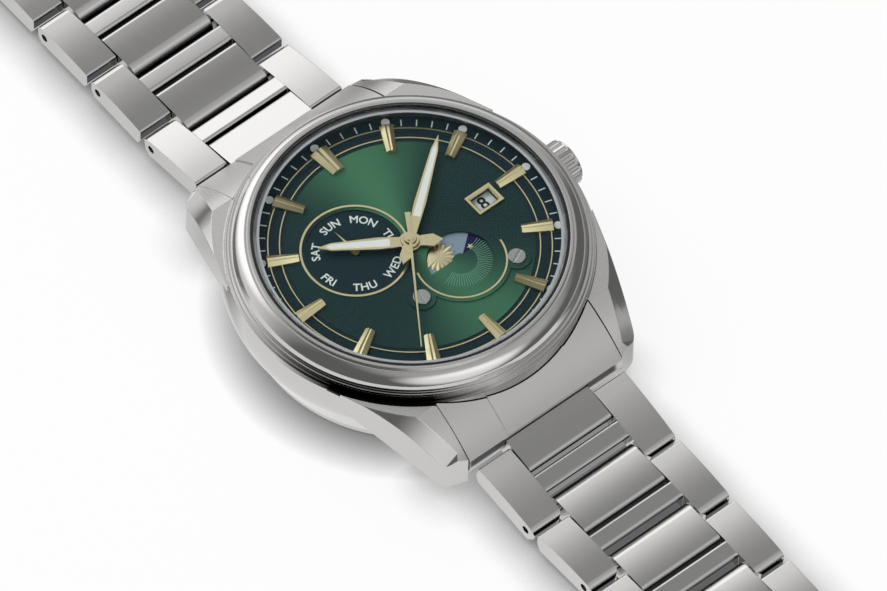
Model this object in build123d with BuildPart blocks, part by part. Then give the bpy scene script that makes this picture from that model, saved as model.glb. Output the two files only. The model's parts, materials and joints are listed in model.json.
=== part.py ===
from build123d import *
import math
import os

os.makedirs("parts", exist_ok=True)

# A wristwatch with day, date and sun and moon displays on a steel link bracelet.
# The case back lies in the XY plane. +Z points out of the dial, +Y to twelve o'clock
# and +X to the crown. The bracelet lies open and flat, with its clasp folded shut.
# All sizes are in millimetres and degrees.

# Fits that many pieces share
running_gap = 0.05          # radial clearance round a turning pin or pipe
seat_gap = 0.02             # radial clearance round a fixed round piece
cut_overrun = 1.0           # how far a cutter runs past the piece it cuts

# Case band
case_radius = 20.0
case_bulge_height = 8.2
case_top_inset = 0.5
case_top = 10.5
case_foot_inset = 0.3
case_foot = 6.4
case_bottom_inset = 2.3
case_bottom = 1.9
case_bore_radius = 17.0
case_back_bore_radius = 16.3
case_shelf = 3.05

# Lugs, measured in the quarter between three and twelve o'clock
lug_gap_half = 10.4
lug_root_x = 18.0
lug_root_y = 8.2
lug_tip_x = 13.0
lug_tip_y = 21.4
lug_end_y = 22.3
lug_tip_radius = 1.8
lug_bend_y = 16.8
lug_middle_y = 19.6
lug_bend_height = 10.35
lug_middle_height = 8.7
lug_end_height = 6.25
lug_heel_height = 2.4
lug_heel_y = 21.5
lug_arch_y = 11.0
lug_arch_height = 7.4
bevel_slope = 35.0
bevel_start_y = 11.0
bevel_start_height = 13.3
bevel_middle_y = 16.2
bevel_middle_height = 10.75
bevel_tip_height = 5.9

# Bezel, crystal and the ring round the dial
bezel_outer_radius = 19.35
bezel_lower_step = 0.35
bezel_middle_radius = 19.05
bezel_middle_step = 0.75
bezel_edge_radius = 18.7
bezel_slope_foot = 1.15
bezel_lip_radius = 17.4
bezel_slope_top = 2.45
bezel_slope_bulge = 0.16
bezel_ring_radius = 17.1
bezel_ring_top = 2.72
bezel_aperture_radius = 16.75
bezel_flange_height = 2.3
crystal_radius = 16.45
crystal_edge_height = 0.75
crystal_chamfer = 0.15
crystal_dome_rise = 0.25
chapter_outer_radius = 16.85
chapter_top_radius = 16.1
chapter_foot_radius = 16.4

# Dial
dial_top = 11.2
dial_thickness = 0.4
dial_hole_radius = 1.15
channel_inner_radius = 13.15
channel_outer_radius = 14.35
channel_depth = 0.06
day_x = -5.0
day_y = 2.95
day_ring_radius = 5.72
day_ring_width = 0.24
day_ring_height = 0.16
day_recess_radius = 5.3
day_recess_depth = 0.14
moon_x = 2.83
moon_y = -4.89
moon_window_radius = 3.6
moon_disc_radius = 3.8
moon_opening_radius = 3.95
moon_window_floor = 0.45
moon_window_hub = 0.85
moon_plate_radius = 5.3
moon_plate_height = 0.2
moon_plate_recess = 0.08
moon_ring_radius = 4.85
moon_ring_width = 0.2
moon_ring_height = 0.08
moon_ring_arc = 190.0
moon_ring_middle = 257.0
moon_slot_turns = (78.0, 25.0)
ear_radius = 1.5
ear_spots = ((-3.4, -6.05), (7.63, -8.3))
screw_head_radius = 0.92
screw_head_height = 0.2
screw_slot_width = 0.24
screw_slot_depth = 0.1
screw_shank_radius = 0.45
date_x = 9.65
date_y = -0.5
date_width = 3.3
date_height = 2.6
date_border = 0.42
date_frame_rise = 0.3

# Hour markers and lume dots
hour_count = 12
marker_inner_radius = 11.8
marker_outer_radius = 15.15
marker_inner_width = 1.05
marker_outer_width = 1.5
marker_height = 0.6
marker_shoulder_share = 0.55
marker_groove_share = 0.8
marker_ridge_share = 0.3
noon_width_share = 1.45
dot_ring_radius = 15.72
dot_radius = 0.46
dot_height = 0.12

# Hands, with the time that they show
hour_hand_angle = 303.75
minute_hand_angle = 52.0
second_hand_angle = 214.6
day_hand_angle = 357.0
hand_thickness = 0.2
hour_hand_lift = 0.5
minute_hand_lift = 0.85
second_hand_lift = 1.17
second_hand_thickness = 0.1
hour_hand_length = 9.7
hour_hand_width = 1.5
hour_hand_tail = 3.5
minute_hand_length = 13.7
minute_hand_width = 1.25
minute_hand_tail = 3.25
hand_neck_share = 0.72
hand_shoulder_share = 0.35
hand_tip_start_share = 0.86
hand_tip_width_share = 0.62
hand_tail_belly_share = 0.7
lume_width_share = 0.64
lume_start_share = 0.22
lume_end_share = 0.92
hour_boss_radius = 1.2
minute_boss_radius = 0.95
second_hand_length = 13.8
second_hand_tail = 3.3
second_hand_width = 0.3
second_tail_width = 0.62
second_hand_tip_width = 0.12
second_boss_radius = 0.62
second_cap_height = 0.14
day_hand_length = 3.2
day_hand_width = 0.45
day_boss_radius = 0.5
day_hand_lift = 0.08

# Movement
movement_radius = 13.4
plate_bottom = 6.0
plate_top = 10.3
motion_recess_radius = 4.3
motion_recess_depth = 1.3
casing_ring_gap = 0.1
bridge_bottom = 4.2
bridge_thickness = 1.0
pillar_radius = 0.9
date_ring_inner_radius = 8.35
date_ring_outer_radius = 12.6
date_ring_thickness = 0.15
date_ring_lift = 0.12
disc_thickness = 0.18
disc_sink = 0.12
arbor_radius = 0.45
hour_pipe_radius = 1.0
hour_pipe_bore = 0.76
minute_pipe_radius = 0.7
minute_pipe_bore = 0.42
second_arbor_radius = 0.36
hour_wheel_radius = 3.2
hour_wheel_thickness = 0.3
cannon_radius = 1.05
cannon_thickness = 0.4
wheel_lift = 0.12
barrel_x = -5.2
barrel_y = 5.4
barrel_radius = 5.3
barrel_thickness = 1.6
barrel_rim_width = 0.35
balance_x = 5.6
balance_y = -6.3
balance_radius = 4.3
balance_rim_width = 0.5
balance_thickness = 0.3
balance_height = 5.4
balance_staff_radius = 0.25
balance_spoke_width = 0.45
balance_spokes = 3
cock_width = 3.0
cock_hub_radius = 1.7
cock_foot_radius = 2.2
cock_reach_share = 0.82
jewel_radius = 0.75
jewel_bore = 0.3
jewel_height = 0.12
jewel_spots_share = ((-0.388, 0.403), (0.05, 0.46), (0.4, 0.3), (-0.1, -0.38))
bridge_screw_radius = 0.85
bridge_screw_height = 0.2
bridge_screw_spots_share = ((-0.86, -0.1), (0.1, 0.84), (-0.45, -0.62), (0.8, 0.32))
rotor_radius = 13.0
rotor_rim_width = 2.3
rotor_web_height = 2.55
rotor_web_thickness = 0.5
rotor_rim_bottom = 2.25
rotor_rim_top = 3.85
rotor_hub_radius = 2.7
rotor_angle = 118.0
rotor_span = 176.0
bearing_radius = 1.6
bearing_flange_radius = 2.1
bearing_flange_height = 0.2

# Case back
back_outer_radius = 17.3
back_edge_height = 0.75
back_face_radius = 16.3
back_window_radius = 12.3
back_glass_radius = 12.8
back_glass_bottom = 0.3
back_glass_thickness = 1.05
back_neck_wall = 1.0
back_notches = 6
back_notch_radius = 15.2
back_notch_length = 1.7
back_notch_width = 1.0
back_notch_depth = 0.4

# Crown, stem and tube
crown_height = 7.2
crown_radius = 2.6
crown_sink = 0.45
crown_length = 2.05
crown_flutes = 20
crown_flute_radius = 0.26
crown_chamfer = 0.25
crown_bore_radius = 1.6
crown_bore_depth = 1.15
crown_pocket_radius = 2.85
crown_pocket_depth = 0.15
tube_radius = 1.2
tube_bore_radius = 0.68
tube_start = 17.05
tube_reach = 0.8
stem_radius = 0.6
stem_start = 8.2
crown_gasket_spot = 0.2
crown_gasket_width = 0.5

# Bracelet
link_pitch = 9.2
link_thickness = 2.6
link_table_gap = 0.03
link_half_width = 9.9
link_taper = 0.25
link_center_share = 0.565
link_side_gap = 0.06
link_near_face = 1.85
first_near_face = 1.2
link_far_reach = 1.25
link_crown_drop = 0.22
link_corner_radius = 0.5
link_near_radius = 0.25
link_nose_radius = 1.0
link_inner_radius = 0.9
link_outer_radius = 0.3
link_near_heel = 0.5
link_far_heel = 0.7
link_heel_share = 0.25
link_bar_start = 5.1
link_bar_end = 7.4
link_bar_drop = 0.05
link_bar_foot = 0.3
link_bar_corner = 0.4
link_center_end = 4.65
link_fixed_pin_spot = 3.2
link_pin_radius = 0.45
link_pin_recess = 0.9
link_fixed_pin_bite = 1.2
links_toward_noon = 6
links_toward_six = 7
noon_pin_heights = (2.8, 2.75, 2.4, 1.95, 1.55)
six_pin_heights = (2.45, 2.05, 1.75, 1.5, 1.4)

# End links
end_link_gap = 0.1
end_link_top_drop = 0.12
end_center_half = 5.15
end_center_rise = 0.22
end_pivot_y = 21.85
end_pivot_height = 4.45
end_face_y = 22.5
end_face_top = 6.05
end_face_middle = 4.9
end_face_heel_y = 22.05
end_face_heel = 3.5
end_bottom_y = 21.5
end_bottom = 3.1
end_pocket_radius = 1.42
spring_bar_y = 20.45
spring_bar_height = 6.1
spring_bar_radius = 0.75
spring_bar_tip_radius = 0.4
spring_bar_tip = 0.9

# Clasp
clasp_near_face = 1.85
clasp_length = 22.2
clasp_wall = 0.9
clasp_skin = 0.85
clasp_bottom = 0.6
clasp_end_top = 3.7
clasp_middle_top = 4.3
clasp_block = 1.9
clasp_width_extra = 0.25
clasp_corner_radius = 0.5
blade_thickness = 0.55
blade_lift = 0.5
blade_half_width = 5.0
blade_far_u = 23.2
blade_far_height = 1.9
blade_near_u = 4.9
blade_near_height = 1.0
blade_end_u = 25.7
blade_end_height = 0.85
blade_knuckle_radius = 0.8
blade_center_half = 2.4
blade_bow = 0.45
button_radius = 0.9
button_flange_radius = 1.15
button_flange = 0.4
button_u = 7.2
button_height = 1.9
button_proud = 0.6
button_chamfer = 0.15


def save(piece, label):
    """Give a finished piece its label and write it as one STEP file."""
    piece.part.label = label
    export_step(piece.part, "parts/" + label + ".step")


# Radii and places that follow the case band's widest radius
case_top_radius = case_radius - case_top_inset
case_foot_radius = case_radius - case_foot_inset
case_bottom_radius = case_radius - case_bottom_inset
crown_start = case_radius - crown_sink
crown_end = crown_start + crown_length
crown_pocket_start = crown_start - crown_pocket_depth
tube_end = crown_start + tube_reach
crown_gasket_start = crown_start + crown_gasket_spot

# Heights that several pieces share
link_half = link_thickness / 2
flat_pivot_height = link_half + link_table_gap
bezel_bottom = case_top
flange_under = bezel_bottom + bezel_flange_height
crystal_bottom = flange_under
chapter_foot = dial_top
dial_bottom = dial_top - dial_thickness
bridge_top = bridge_bottom + bridge_thickness

# Mid case: one turned band, four lugs, a flat cut between each pair of lugs
with BuildPart() as lug:
    with BuildSketch(Plane.YZ):
        with BuildLine():
            Line((0, case_top), (lug_root_y, case_top))
            Line((lug_root_y, case_top), (lug_bend_y, lug_bend_height))
            ThreePointArc((lug_bend_y, lug_bend_height), (lug_middle_y, lug_middle_height),
                          (lug_end_y, lug_end_height))
            Polyline((lug_end_y, lug_end_height), (lug_end_y, lug_heel_height + seat_gap),
                     (lug_heel_y, lug_heel_height), (lug_arch_y, lug_arch_height),
                     (0, lug_arch_height), (0, case_top))
        make_face()
    extrude(amount=lug_root_x)
    with BuildSketch() as lug_plan:
        with BuildLine():
            Polyline((lug_gap_half, lug_root_y), (lug_root_x, lug_root_y),
                     (lug_tip_x, lug_tip_y), (lug_gap_half, lug_end_y),
                     (lug_gap_half, lug_root_y))
        make_face()
        fillet(lug_plan.vertices().sort_by(Axis.Y)[-2], lug_tip_radius)
    extrude(amount=case_top, mode=Mode.INTERSECT)
    bevel_run = lug_root_x - lug_gap_half
    bevel_x = math.cos(math.radians(bevel_slope))
    bevel_z = -math.sin(math.radians(bevel_slope))
    for way in (1, -1):
        with BuildSketch(Plane.YZ.offset(lug_tip_x)):
            with BuildLine():
                ThreePointArc((bevel_start_y, bevel_start_height),
                              (bevel_middle_y, bevel_middle_height),
                              (lug_tip_y, bevel_tip_height))
                Polyline((lug_tip_y, bevel_tip_height),
                         (lug_end_y + cut_overrun, bevel_tip_height - cut_overrun),
                         (lug_end_y + cut_overrun, bevel_start_height),
                         (bevel_start_y, bevel_start_height))
            make_face()
        extrude(amount=bevel_run, dir=(way * bevel_x, 0, way * bevel_z), mode=Mode.SUBTRACT)
    mirror(about=Plane.YZ)
    mirror(about=Plane.XZ)

with BuildPart() as mid_case:
    with BuildSketch(Plane.XZ):
        with BuildLine():
            Line((case_bore_radius, case_top), (case_top_radius, case_top))
            ThreePointArc((case_top_radius, case_top), (case_radius, case_bulge_height),
                          (case_foot_radius, case_foot))
            Polyline((case_foot_radius, case_foot), (case_bottom_radius, case_bottom),
                     (case_back_bore_radius, case_bottom), (case_back_bore_radius, case_shelf),
                     (case_bore_radius, case_shelf), (case_bore_radius, case_top))
        make_face()
    revolve(axis=Axis.Z)
    with BuildSketch():
        Rectangle(lug_gap_half * 2, (case_radius + cut_overrun) * 2)
        Circle(case_top_radius, mode=Mode.SUBTRACT)
    extrude(amount=case_top, mode=Mode.SUBTRACT)
    add(lug.part)
    with BuildSketch():
        Circle(case_bore_radius)
    extrude(amount=case_top, mode=Mode.SUBTRACT)
    with BuildSketch(Plane.XZ):
        Polygon(*[(case_back_bore_radius, case_bottom), (case_bore_radius, case_bottom),
                  (case_bore_radius, case_shelf), (case_back_bore_radius, case_shelf)],
                align=None)
    revolve(axis=Axis.Z)
    with BuildSketch(Plane.YZ.offset(case_bore_radius - cut_overrun)):
        with Locations((0, crown_height)):
            Circle(tube_radius + seat_gap)
    extrude(amount=case_radius - case_bore_radius + cut_overrun * 2, mode=Mode.SUBTRACT)
    with BuildSketch(Plane.YZ.offset(crown_pocket_start)):
        with Locations((0, crown_height)):
            Circle(crown_pocket_radius)
    extrude(amount=cut_overrun, mode=Mode.SUBTRACT)
    with BuildSketch(Plane.YZ):
        with Locations((spring_bar_y, spring_bar_height), (-spring_bar_y, spring_bar_height)):
            Circle(spring_bar_tip_radius + seat_gap)
    extrude(amount=lug_gap_half + spring_bar_tip, both=True, mode=Mode.SUBTRACT)
save(mid_case, "mid_case")

# Bezel: a polished slope over two thin steps, with a flange over the chapter ring
with BuildPart() as bezel:
    with BuildSketch(Plane.XZ):
        with BuildLine():
            Polyline((case_bore_radius, bezel_bottom), (bezel_outer_radius, bezel_bottom),
                     (bezel_outer_radius, bezel_bottom + bezel_lower_step),
                     (bezel_middle_radius, bezel_bottom + bezel_lower_step),
                     (bezel_middle_radius, bezel_bottom + bezel_middle_step),
                     (bezel_edge_radius, bezel_bottom + bezel_middle_step),
                     (bezel_edge_radius, bezel_bottom + bezel_slope_foot))
            slope_foot = (bezel_edge_radius, bezel_bottom + bezel_slope_foot)
            slope_top = (bezel_lip_radius, bezel_bottom + bezel_slope_top)
            slope_middle = ((slope_foot[0] + slope_top[0]) / 2 + bezel_slope_bulge,
                            (slope_foot[1] + slope_top[1]) / 2 + bezel_slope_bulge)
            ThreePointArc(slope_foot, slope_middle, slope_top)
            Polyline(slope_top, (bezel_ring_radius, bezel_bottom + bezel_slope_top),
                     (bezel_ring_radius, bezel_bottom + bezel_ring_top),
                     (bezel_aperture_radius, bezel_bottom + bezel_ring_top),
                     (bezel_aperture_radius, flange_under),
                     (case_bore_radius, flange_under), (case_bore_radius, bezel_bottom))
        make_face()
    revolve(axis=Axis.Z)
save(bezel, "bezel")

with BuildPart() as crystal_gasket:
    with BuildSketch(Plane.XY.offset(flange_under)):
        Circle(bezel_aperture_radius)
        Circle(crystal_radius, mode=Mode.SUBTRACT)
    extrude(amount=bezel_ring_top - bezel_flange_height)
save(crystal_gasket, "crystal_gasket")

# Crystal: flat underneath, lightly domed on top
dome_reach = crystal_radius - crystal_chamfer
dome_radius = (dome_reach ** 2 + crystal_dome_rise ** 2) / (crystal_dome_rise * 2)
with BuildPart() as crystal:
    with BuildSketch(Plane.XZ):
        rim_top = crystal_bottom + crystal_edge_height
        Polygon(*[(0, crystal_bottom), (crystal_radius, crystal_bottom),
                  (crystal_radius, rim_top - crystal_chamfer), (dome_reach, rim_top),
                  (dome_reach, rim_top + crystal_dome_rise),
                  (0, rim_top + crystal_dome_rise)], align=None)
    revolve(axis=Axis.Z)
    with Locations((0, 0, rim_top + crystal_dome_rise - dome_radius)):
        Sphere(dome_radius, mode=Mode.INTERSECT)
save(crystal, "crystal")

with BuildPart() as chapter_ring:
    with BuildSketch(Plane.XZ):
        Polygon(*[(chapter_foot_radius, chapter_foot), (chapter_outer_radius, chapter_foot),
                  (chapter_outer_radius, flange_under), (chapter_top_radius, flange_under)],
                align=None)
    revolve(axis=Axis.Z)
save(chapter_ring, "chapter_ring")

# Dial: a sunk day circle, a round hole behind the moon plate, a date window
with BuildPart() as dial:
    with BuildSketch(Plane.XY.offset(dial_bottom)):
        Circle(chapter_outer_radius)
        Circle(dial_hole_radius, mode=Mode.SUBTRACT)
        with Locations((day_x, day_y)):
            Circle(arbor_radius + running_gap, mode=Mode.SUBTRACT)
        with Locations((moon_x, moon_y)):
            Circle(moon_opening_radius, mode=Mode.SUBTRACT)
        with Locations((date_x, date_y)):
            Rectangle(date_width - date_border * 2, date_height - date_border * 2,
                      mode=Mode.SUBTRACT)
        with Locations(*ear_spots):
            Circle(screw_shank_radius + seat_gap, mode=Mode.SUBTRACT)
    extrude(amount=dial_thickness)
    with BuildSketch(Plane.XY.offset(dial_top)):
        Circle(channel_outer_radius)
        Circle(channel_inner_radius, mode=Mode.SUBTRACT)
    extrude(amount=-channel_depth, mode=Mode.SUBTRACT)
    with BuildSketch(Plane.XY.offset(dial_top)):
        with Locations((day_x, day_y)):
            Circle(day_recess_radius)
        Circle(dial_hole_radius, mode=Mode.SUBTRACT)
    extrude(amount=-day_recess_depth, mode=Mode.SUBTRACT)
save(dial, "dial")

with BuildPart() as day_ring:
    with BuildSketch(Plane.XY.offset(dial_top)):
        with Locations((day_x, day_y)):
            Circle(day_ring_radius + day_ring_width / 2)
            Circle(day_ring_radius - day_ring_width / 2, mode=Mode.SUBTRACT)
        Circle(hour_boss_radius, mode=Mode.SUBTRACT)
        with Locations((moon_x, moon_y)):
            Circle(moon_plate_radius + seat_gap, mode=Mode.SUBTRACT)
    extrude(amount=day_ring_height)
save(day_ring, "day_ring")

# Moon plate: a raised disc with two screwed ears and a half round window
with BuildPart() as moon_plate:
    with BuildSketch(Plane.XY.offset(dial_top)):
        with Locations((moon_x, moon_y)):
            Circle(moon_plate_radius)
        for spot in ear_spots:
            with Locations(spot):
                Circle(ear_radius)
        with Locations(*ear_spots):
            Circle(screw_shank_radius + seat_gap, mode=Mode.SUBTRACT)
        Circle(dial_hole_radius, mode=Mode.SUBTRACT)
    extrude(amount=moon_plate_height)
    with BuildSketch(Plane.XY.offset(dial_top + moon_plate_height)):
        with Locations((moon_x, moon_y)):
            Circle(moon_window_radius)
    extrude(amount=-moon_plate_recess, mode=Mode.SUBTRACT)
    with BuildSketch(Plane.XY.offset(dial_top)):
        with Locations((moon_x, moon_y)):
            Circle(moon_window_radius)
        with Locations((moon_x, moon_y + moon_window_floor - moon_window_radius)):
            Rectangle(moon_window_radius * 2, moon_window_radius * 2, mode=Mode.SUBTRACT)
        with Locations((moon_x, moon_y)):
            Circle(moon_window_hub, mode=Mode.SUBTRACT)
    extrude(amount=moon_plate_height, mode=Mode.SUBTRACT)
save(moon_plate, "moon_plate")

with BuildPart() as moon_ring:
    ring_start = moon_ring_middle - moon_ring_arc / 2
    with BuildSketch(Plane.XY.offset(dial_top + moon_plate_height)):
        with BuildLine():
            ring_out = CenterArc((moon_x, moon_y), moon_ring_radius + moon_ring_width / 2,
                                 ring_start, moon_ring_arc)
            ring_in = CenterArc((moon_x, moon_y), moon_ring_radius - moon_ring_width / 2,
                                ring_start, moon_ring_arc)
            Line(ring_out @ 0, ring_in @ 0)
            Line(ring_out @ 1, ring_in @ 1)
        make_face()
    extrude(amount=moon_ring_height)
save(moon_ring, "moon_ring")

with BuildPart() as moon_plate_screws:
    with BuildSketch(Plane.XY.offset(dial_top + moon_plate_height)):
        with Locations(*ear_spots):
            Circle(screw_head_radius)
    extrude(amount=screw_head_height)
    with BuildSketch(Plane.XY.offset(dial_bottom)):
        with Locations(*ear_spots):
            Circle(screw_shank_radius)
    extrude(amount=dial_thickness + moon_plate_height)
    with BuildSketch(Plane.XY.offset(dial_top + moon_plate_height + screw_head_height)):
        with Locations(*[Location((*spot, 0), (0, 0, turn))
                         for spot, turn in zip(ear_spots, moon_slot_turns)]):
            Rectangle(screw_head_radius * 2 + cut_overrun, screw_slot_width)
    extrude(amount=-screw_slot_depth, mode=Mode.SUBTRACT)
save(moon_plate_screws, "moon_plate_screws")

with BuildPart() as date_frame:
    with BuildSketch(Plane.XY.offset(dial_top)):
        with Locations((date_x, date_y)):
            Rectangle(date_width, date_height)
            Rectangle(date_width - date_border * 2, date_height - date_border * 2,
                      mode=Mode.SUBTRACT)
    extrude(amount=date_frame_rise)
    chamfer(date_frame.faces().sort_by(Axis.Z)[-1].inner_wires()[0].edges(),
            length=date_frame_rise / 2)
save(date_frame, "date_frame")


def marker_section(width):
    """Outline of a marker's end: two side faces, two ridges and a groove between them."""
    half = width / 2
    ridge = half * marker_ridge_share
    shoulder = marker_height * marker_shoulder_share
    groove = marker_height * marker_groove_share
    return [(-half, 0), (half, 0), (half, shoulder), (ridge, marker_height), (0, groove),
            (-ridge, marker_height), (-half, shoulder)]


def marker(width_share):
    """One tapered marker at twelve o'clock, wider at its outer end."""
    with BuildPart() as piece:
        for radius, width in ((marker_inner_radius, marker_inner_width),
                              (marker_outer_radius, marker_outer_width)):
            with BuildSketch(Plane((0, radius, dial_top), x_dir=(-1, 0, 0), z_dir=(0, 1, 0))):
                Polygon(*marker_section(width * width_share), align=None)
        loft()
    return piece.part


plain_marker = marker(1)
noon_marker = marker(noon_width_share)
with BuildPart() as hour_markers:
    add(noon_marker)
    for hour in range(1, hour_count):
        add(plain_marker.rotate(Axis.Z, -hour * 360 / hour_count))
save(hour_markers, "hour_markers")

with BuildPart() as lume_dots:
    with BuildSketch(Plane.XY.offset(dial_top)):
        with PolarLocations(dot_ring_radius, hour_count):
            Circle(dot_radius)
    extrude(amount=dot_height)
save(lume_dots, "lume_dots")


def hand_plane(lift, angle):
    """Sketch plane of a hand whose tip points along its own +Y."""
    return Plane.XY.offset(dial_top + lift).rotated((0, 0, -angle))


def leaf_outline(length, width, tail):
    """Half outline of a leaf hand from its tail point to its tip, on the +X side."""
    half = width / 2
    return [(0, -tail), (half, -tail * hand_tail_belly_share), (half * hand_neck_share, 0),
            (half, length * hand_shoulder_share),
            (half * hand_tip_width_share, length * hand_tip_start_share), (0, length)]


def lume_outline(length, width):
    """Half outline of the lume slot of a leaf hand, on the +X side."""
    half = width / 2 * lume_width_share
    return [(0, length * lume_start_share), (half, length * lume_start_share),
            (half * hand_tip_width_share, length * hand_tip_start_share),
            (0, length * lume_end_share)]


def mirrored(points):
    """Close a half outline with its mirror image in the Y axis."""
    left = [(-x, y) for x, y in reversed(points) if x > 0]
    return points + left


def leaf_hand(plane, length, width, tail, boss, bore):
    """Leaf hand with a round boss, a bore for its pipe and a slot for lume."""
    with BuildPart() as piece:
        with BuildSketch(plane):
            Polygon(*mirrored(leaf_outline(length, width, tail)), align=None)
            Circle(boss)
            Circle(bore, mode=Mode.SUBTRACT)
            Polygon(*mirrored(lume_outline(length, width)), align=None, mode=Mode.SUBTRACT)
        extrude(amount=hand_thickness)
    return piece


def hand_lume(plane, length, width):
    """Lume that fills the slot of a leaf hand."""
    with BuildPart() as piece:
        with BuildSketch(plane):
            Polygon(*mirrored(lume_outline(length, width)), align=None)
        extrude(amount=hand_thickness)
    return piece


hour_plane = hand_plane(hour_hand_lift, hour_hand_angle)
minute_plane = hand_plane(minute_hand_lift, minute_hand_angle)
save(leaf_hand(hour_plane, hour_hand_length, hour_hand_width, hour_hand_tail,
               hour_boss_radius, hour_pipe_radius), "hour_hand")
save(hand_lume(hour_plane, hour_hand_length, hour_hand_width), "hour_hand_lume")
save(leaf_hand(minute_plane, minute_hand_length, minute_hand_width, minute_hand_tail,
               minute_boss_radius, minute_pipe_radius), "minute_hand")
save(hand_lume(minute_plane, minute_hand_length, minute_hand_width), "minute_hand_lume")

with BuildPart() as second_hand:
    second_plane = hand_plane(second_hand_lift, second_hand_angle)
    with BuildSketch(second_plane):
        Polygon((-second_tail_width / 2, -second_hand_tail),
                (second_tail_width / 2, -second_hand_tail), (second_hand_width / 2, 0),
                (second_hand_tip_width / 2, second_hand_length),
                (-second_hand_tip_width / 2, second_hand_length),
                (-second_hand_width / 2, 0), align=None)
        Circle(second_boss_radius)
    extrude(amount=second_hand_thickness)
    with BuildSketch(second_plane):
        Circle(second_arbor_radius, mode=Mode.ADD)
    extrude(amount=second_cap_height + second_hand_thickness)
    with BuildSketch(Plane.XY.offset(plate_bottom)):
        Circle(second_arbor_radius)
    extrude(amount=dial_top + second_hand_lift - plate_bottom)
save(second_hand, "second_hand")

with BuildPart() as day_hand:
    with BuildSketch(Plane((day_x, day_y, dial_top + day_hand_lift)).rotated(
            (0, 0, -day_hand_angle))):
        Polygon((-day_hand_width / 2, 0), (day_hand_width / 2, 0), (0, day_hand_length),
                align=None)
        Circle(day_boss_radius)
    extrude(amount=second_hand_thickness)
    with BuildSketch(Plane((day_x, day_y, plate_top))):
        Circle(arbor_radius)
    extrude(amount=dial_top + day_hand_lift - plate_top)
save(day_hand, "day_hand")

# Motion work under the dial: the pipes that carry the hands
recess_floor = plate_top - motion_recess_depth
with BuildPart() as cannon_pinion:
    with BuildSketch(Plane.XY.offset(recess_floor + wheel_lift)):
        Circle(cannon_radius)
    extrude(amount=cannon_thickness)
    with BuildSketch(Plane.XY.offset(recess_floor + wheel_lift)):
        Circle(minute_pipe_radius)
    extrude(amount=dial_top + minute_hand_lift + hand_thickness - recess_floor - wheel_lift)
    with BuildSketch(Plane.XY.offset(recess_floor)):
        Circle(minute_pipe_bore)
    extrude(amount=dial_top + second_hand_lift - recess_floor, mode=Mode.SUBTRACT)
save(cannon_pinion, "cannon_pinion")

with BuildPart() as hour_wheel:
    wheel_bottom = recess_floor + wheel_lift * 2 + cannon_thickness
    with BuildSketch(Plane.XY.offset(wheel_bottom)):
        Circle(hour_wheel_radius)
    extrude(amount=hour_wheel_thickness)
    with BuildSketch(Plane.XY.offset(wheel_bottom)):
        Circle(hour_pipe_radius)
    extrude(amount=dial_top + hour_hand_lift + hand_thickness - wheel_bottom)
    with BuildSketch(Plane.XY.offset(recess_floor)):
        Circle(hour_pipe_bore)
    extrude(amount=dial_top + second_hand_lift - recess_floor, mode=Mode.SUBTRACT)
save(hour_wheel, "hour_wheel")

with BuildPart() as sun_moon_disc:
    disc_top = dial_top - disc_sink
    with BuildSketch(Plane((moon_x, moon_y, disc_top - disc_thickness))):
        Circle(moon_disc_radius)
    extrude(amount=disc_thickness)
    with BuildSketch(Plane((moon_x, moon_y, plate_top - motion_recess_depth))):
        Circle(arbor_radius)
    extrude(amount=disc_top - disc_thickness - plate_top + motion_recess_depth)
save(sun_moon_disc, "sun_moon_disc")

with BuildPart() as date_ring:
    with BuildSketch(Plane.XY.offset(plate_top + date_ring_lift)):
        Circle(date_ring_outer_radius)
        Circle(date_ring_inner_radius, mode=Mode.SUBTRACT)
    extrude(amount=date_ring_thickness)
save(date_ring, "date_ring")

# Movement: a thick plate, a bridge and a cock under it, the barrel, balance and rotor
stem_hole_radius = stem_radius + running_gap
with BuildPart() as main_plate:
    with BuildSketch(Plane.XY.offset(plate_bottom)):
        Circle(movement_radius)
        Circle(second_arbor_radius + running_gap, mode=Mode.SUBTRACT)
    extrude(amount=plate_top - plate_bottom)
    with BuildSketch(Plane.XY.offset(plate_top)):
        Circle(motion_recess_radius)
    extrude(amount=-motion_recess_depth, mode=Mode.SUBTRACT)
    with BuildSketch(Plane((moon_x, moon_y, plate_top))):
        Circle(arbor_radius + running_gap)
    extrude(amount=-motion_recess_depth, mode=Mode.SUBTRACT)
    with BuildSketch(Plane.XY.offset(plate_bottom)):
        with Locations((barrel_x, barrel_y)):
            Circle(barrel_radius + casing_ring_gap * 2)
    extrude(amount=barrel_thickness - bridge_thickness + seat_gap, mode=Mode.SUBTRACT)
    with BuildSketch(Plane.XY.offset(plate_bottom)):
        with Locations((balance_x, balance_y)):
            Circle(balance_staff_radius + running_gap)
    extrude(amount=bridge_thickness, mode=Mode.SUBTRACT)
    with BuildSketch(Plane.YZ.offset(stem_start - cut_overrun)):
        with Locations((0, crown_height)):
            Circle(stem_hole_radius)
    extrude(amount=movement_radius - stem_start + cut_overrun * 2, mode=Mode.SUBTRACT)
save(main_plate, "main_plate")

with BuildPart() as casing_ring:
    with BuildSketch(Plane.XY.offset(case_shelf)):
        Circle(case_bore_radius - casing_ring_gap)
        Circle(movement_radius + casing_ring_gap, mode=Mode.SUBTRACT)
    extrude(amount=dial_bottom - case_shelf)
    with BuildSketch(Plane.YZ.offset(movement_radius - cut_overrun)):
        with Locations((0, crown_height)):
            Circle(stem_hole_radius)
    extrude(amount=case_bore_radius - movement_radius + cut_overrun, mode=Mode.SUBTRACT)
save(casing_ring, "casing_ring")

with BuildPart() as mainspring_barrel:
    barrel_bottom = bridge_top + casing_ring_gap
    with BuildSketch(Plane((barrel_x, barrel_y, barrel_bottom))):
        Circle(barrel_radius)
    extrude(amount=barrel_thickness - bridge_thickness + plate_bottom - barrel_bottom
            - casing_ring_gap)
save(mainspring_barrel, "mainspring_barrel")

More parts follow.
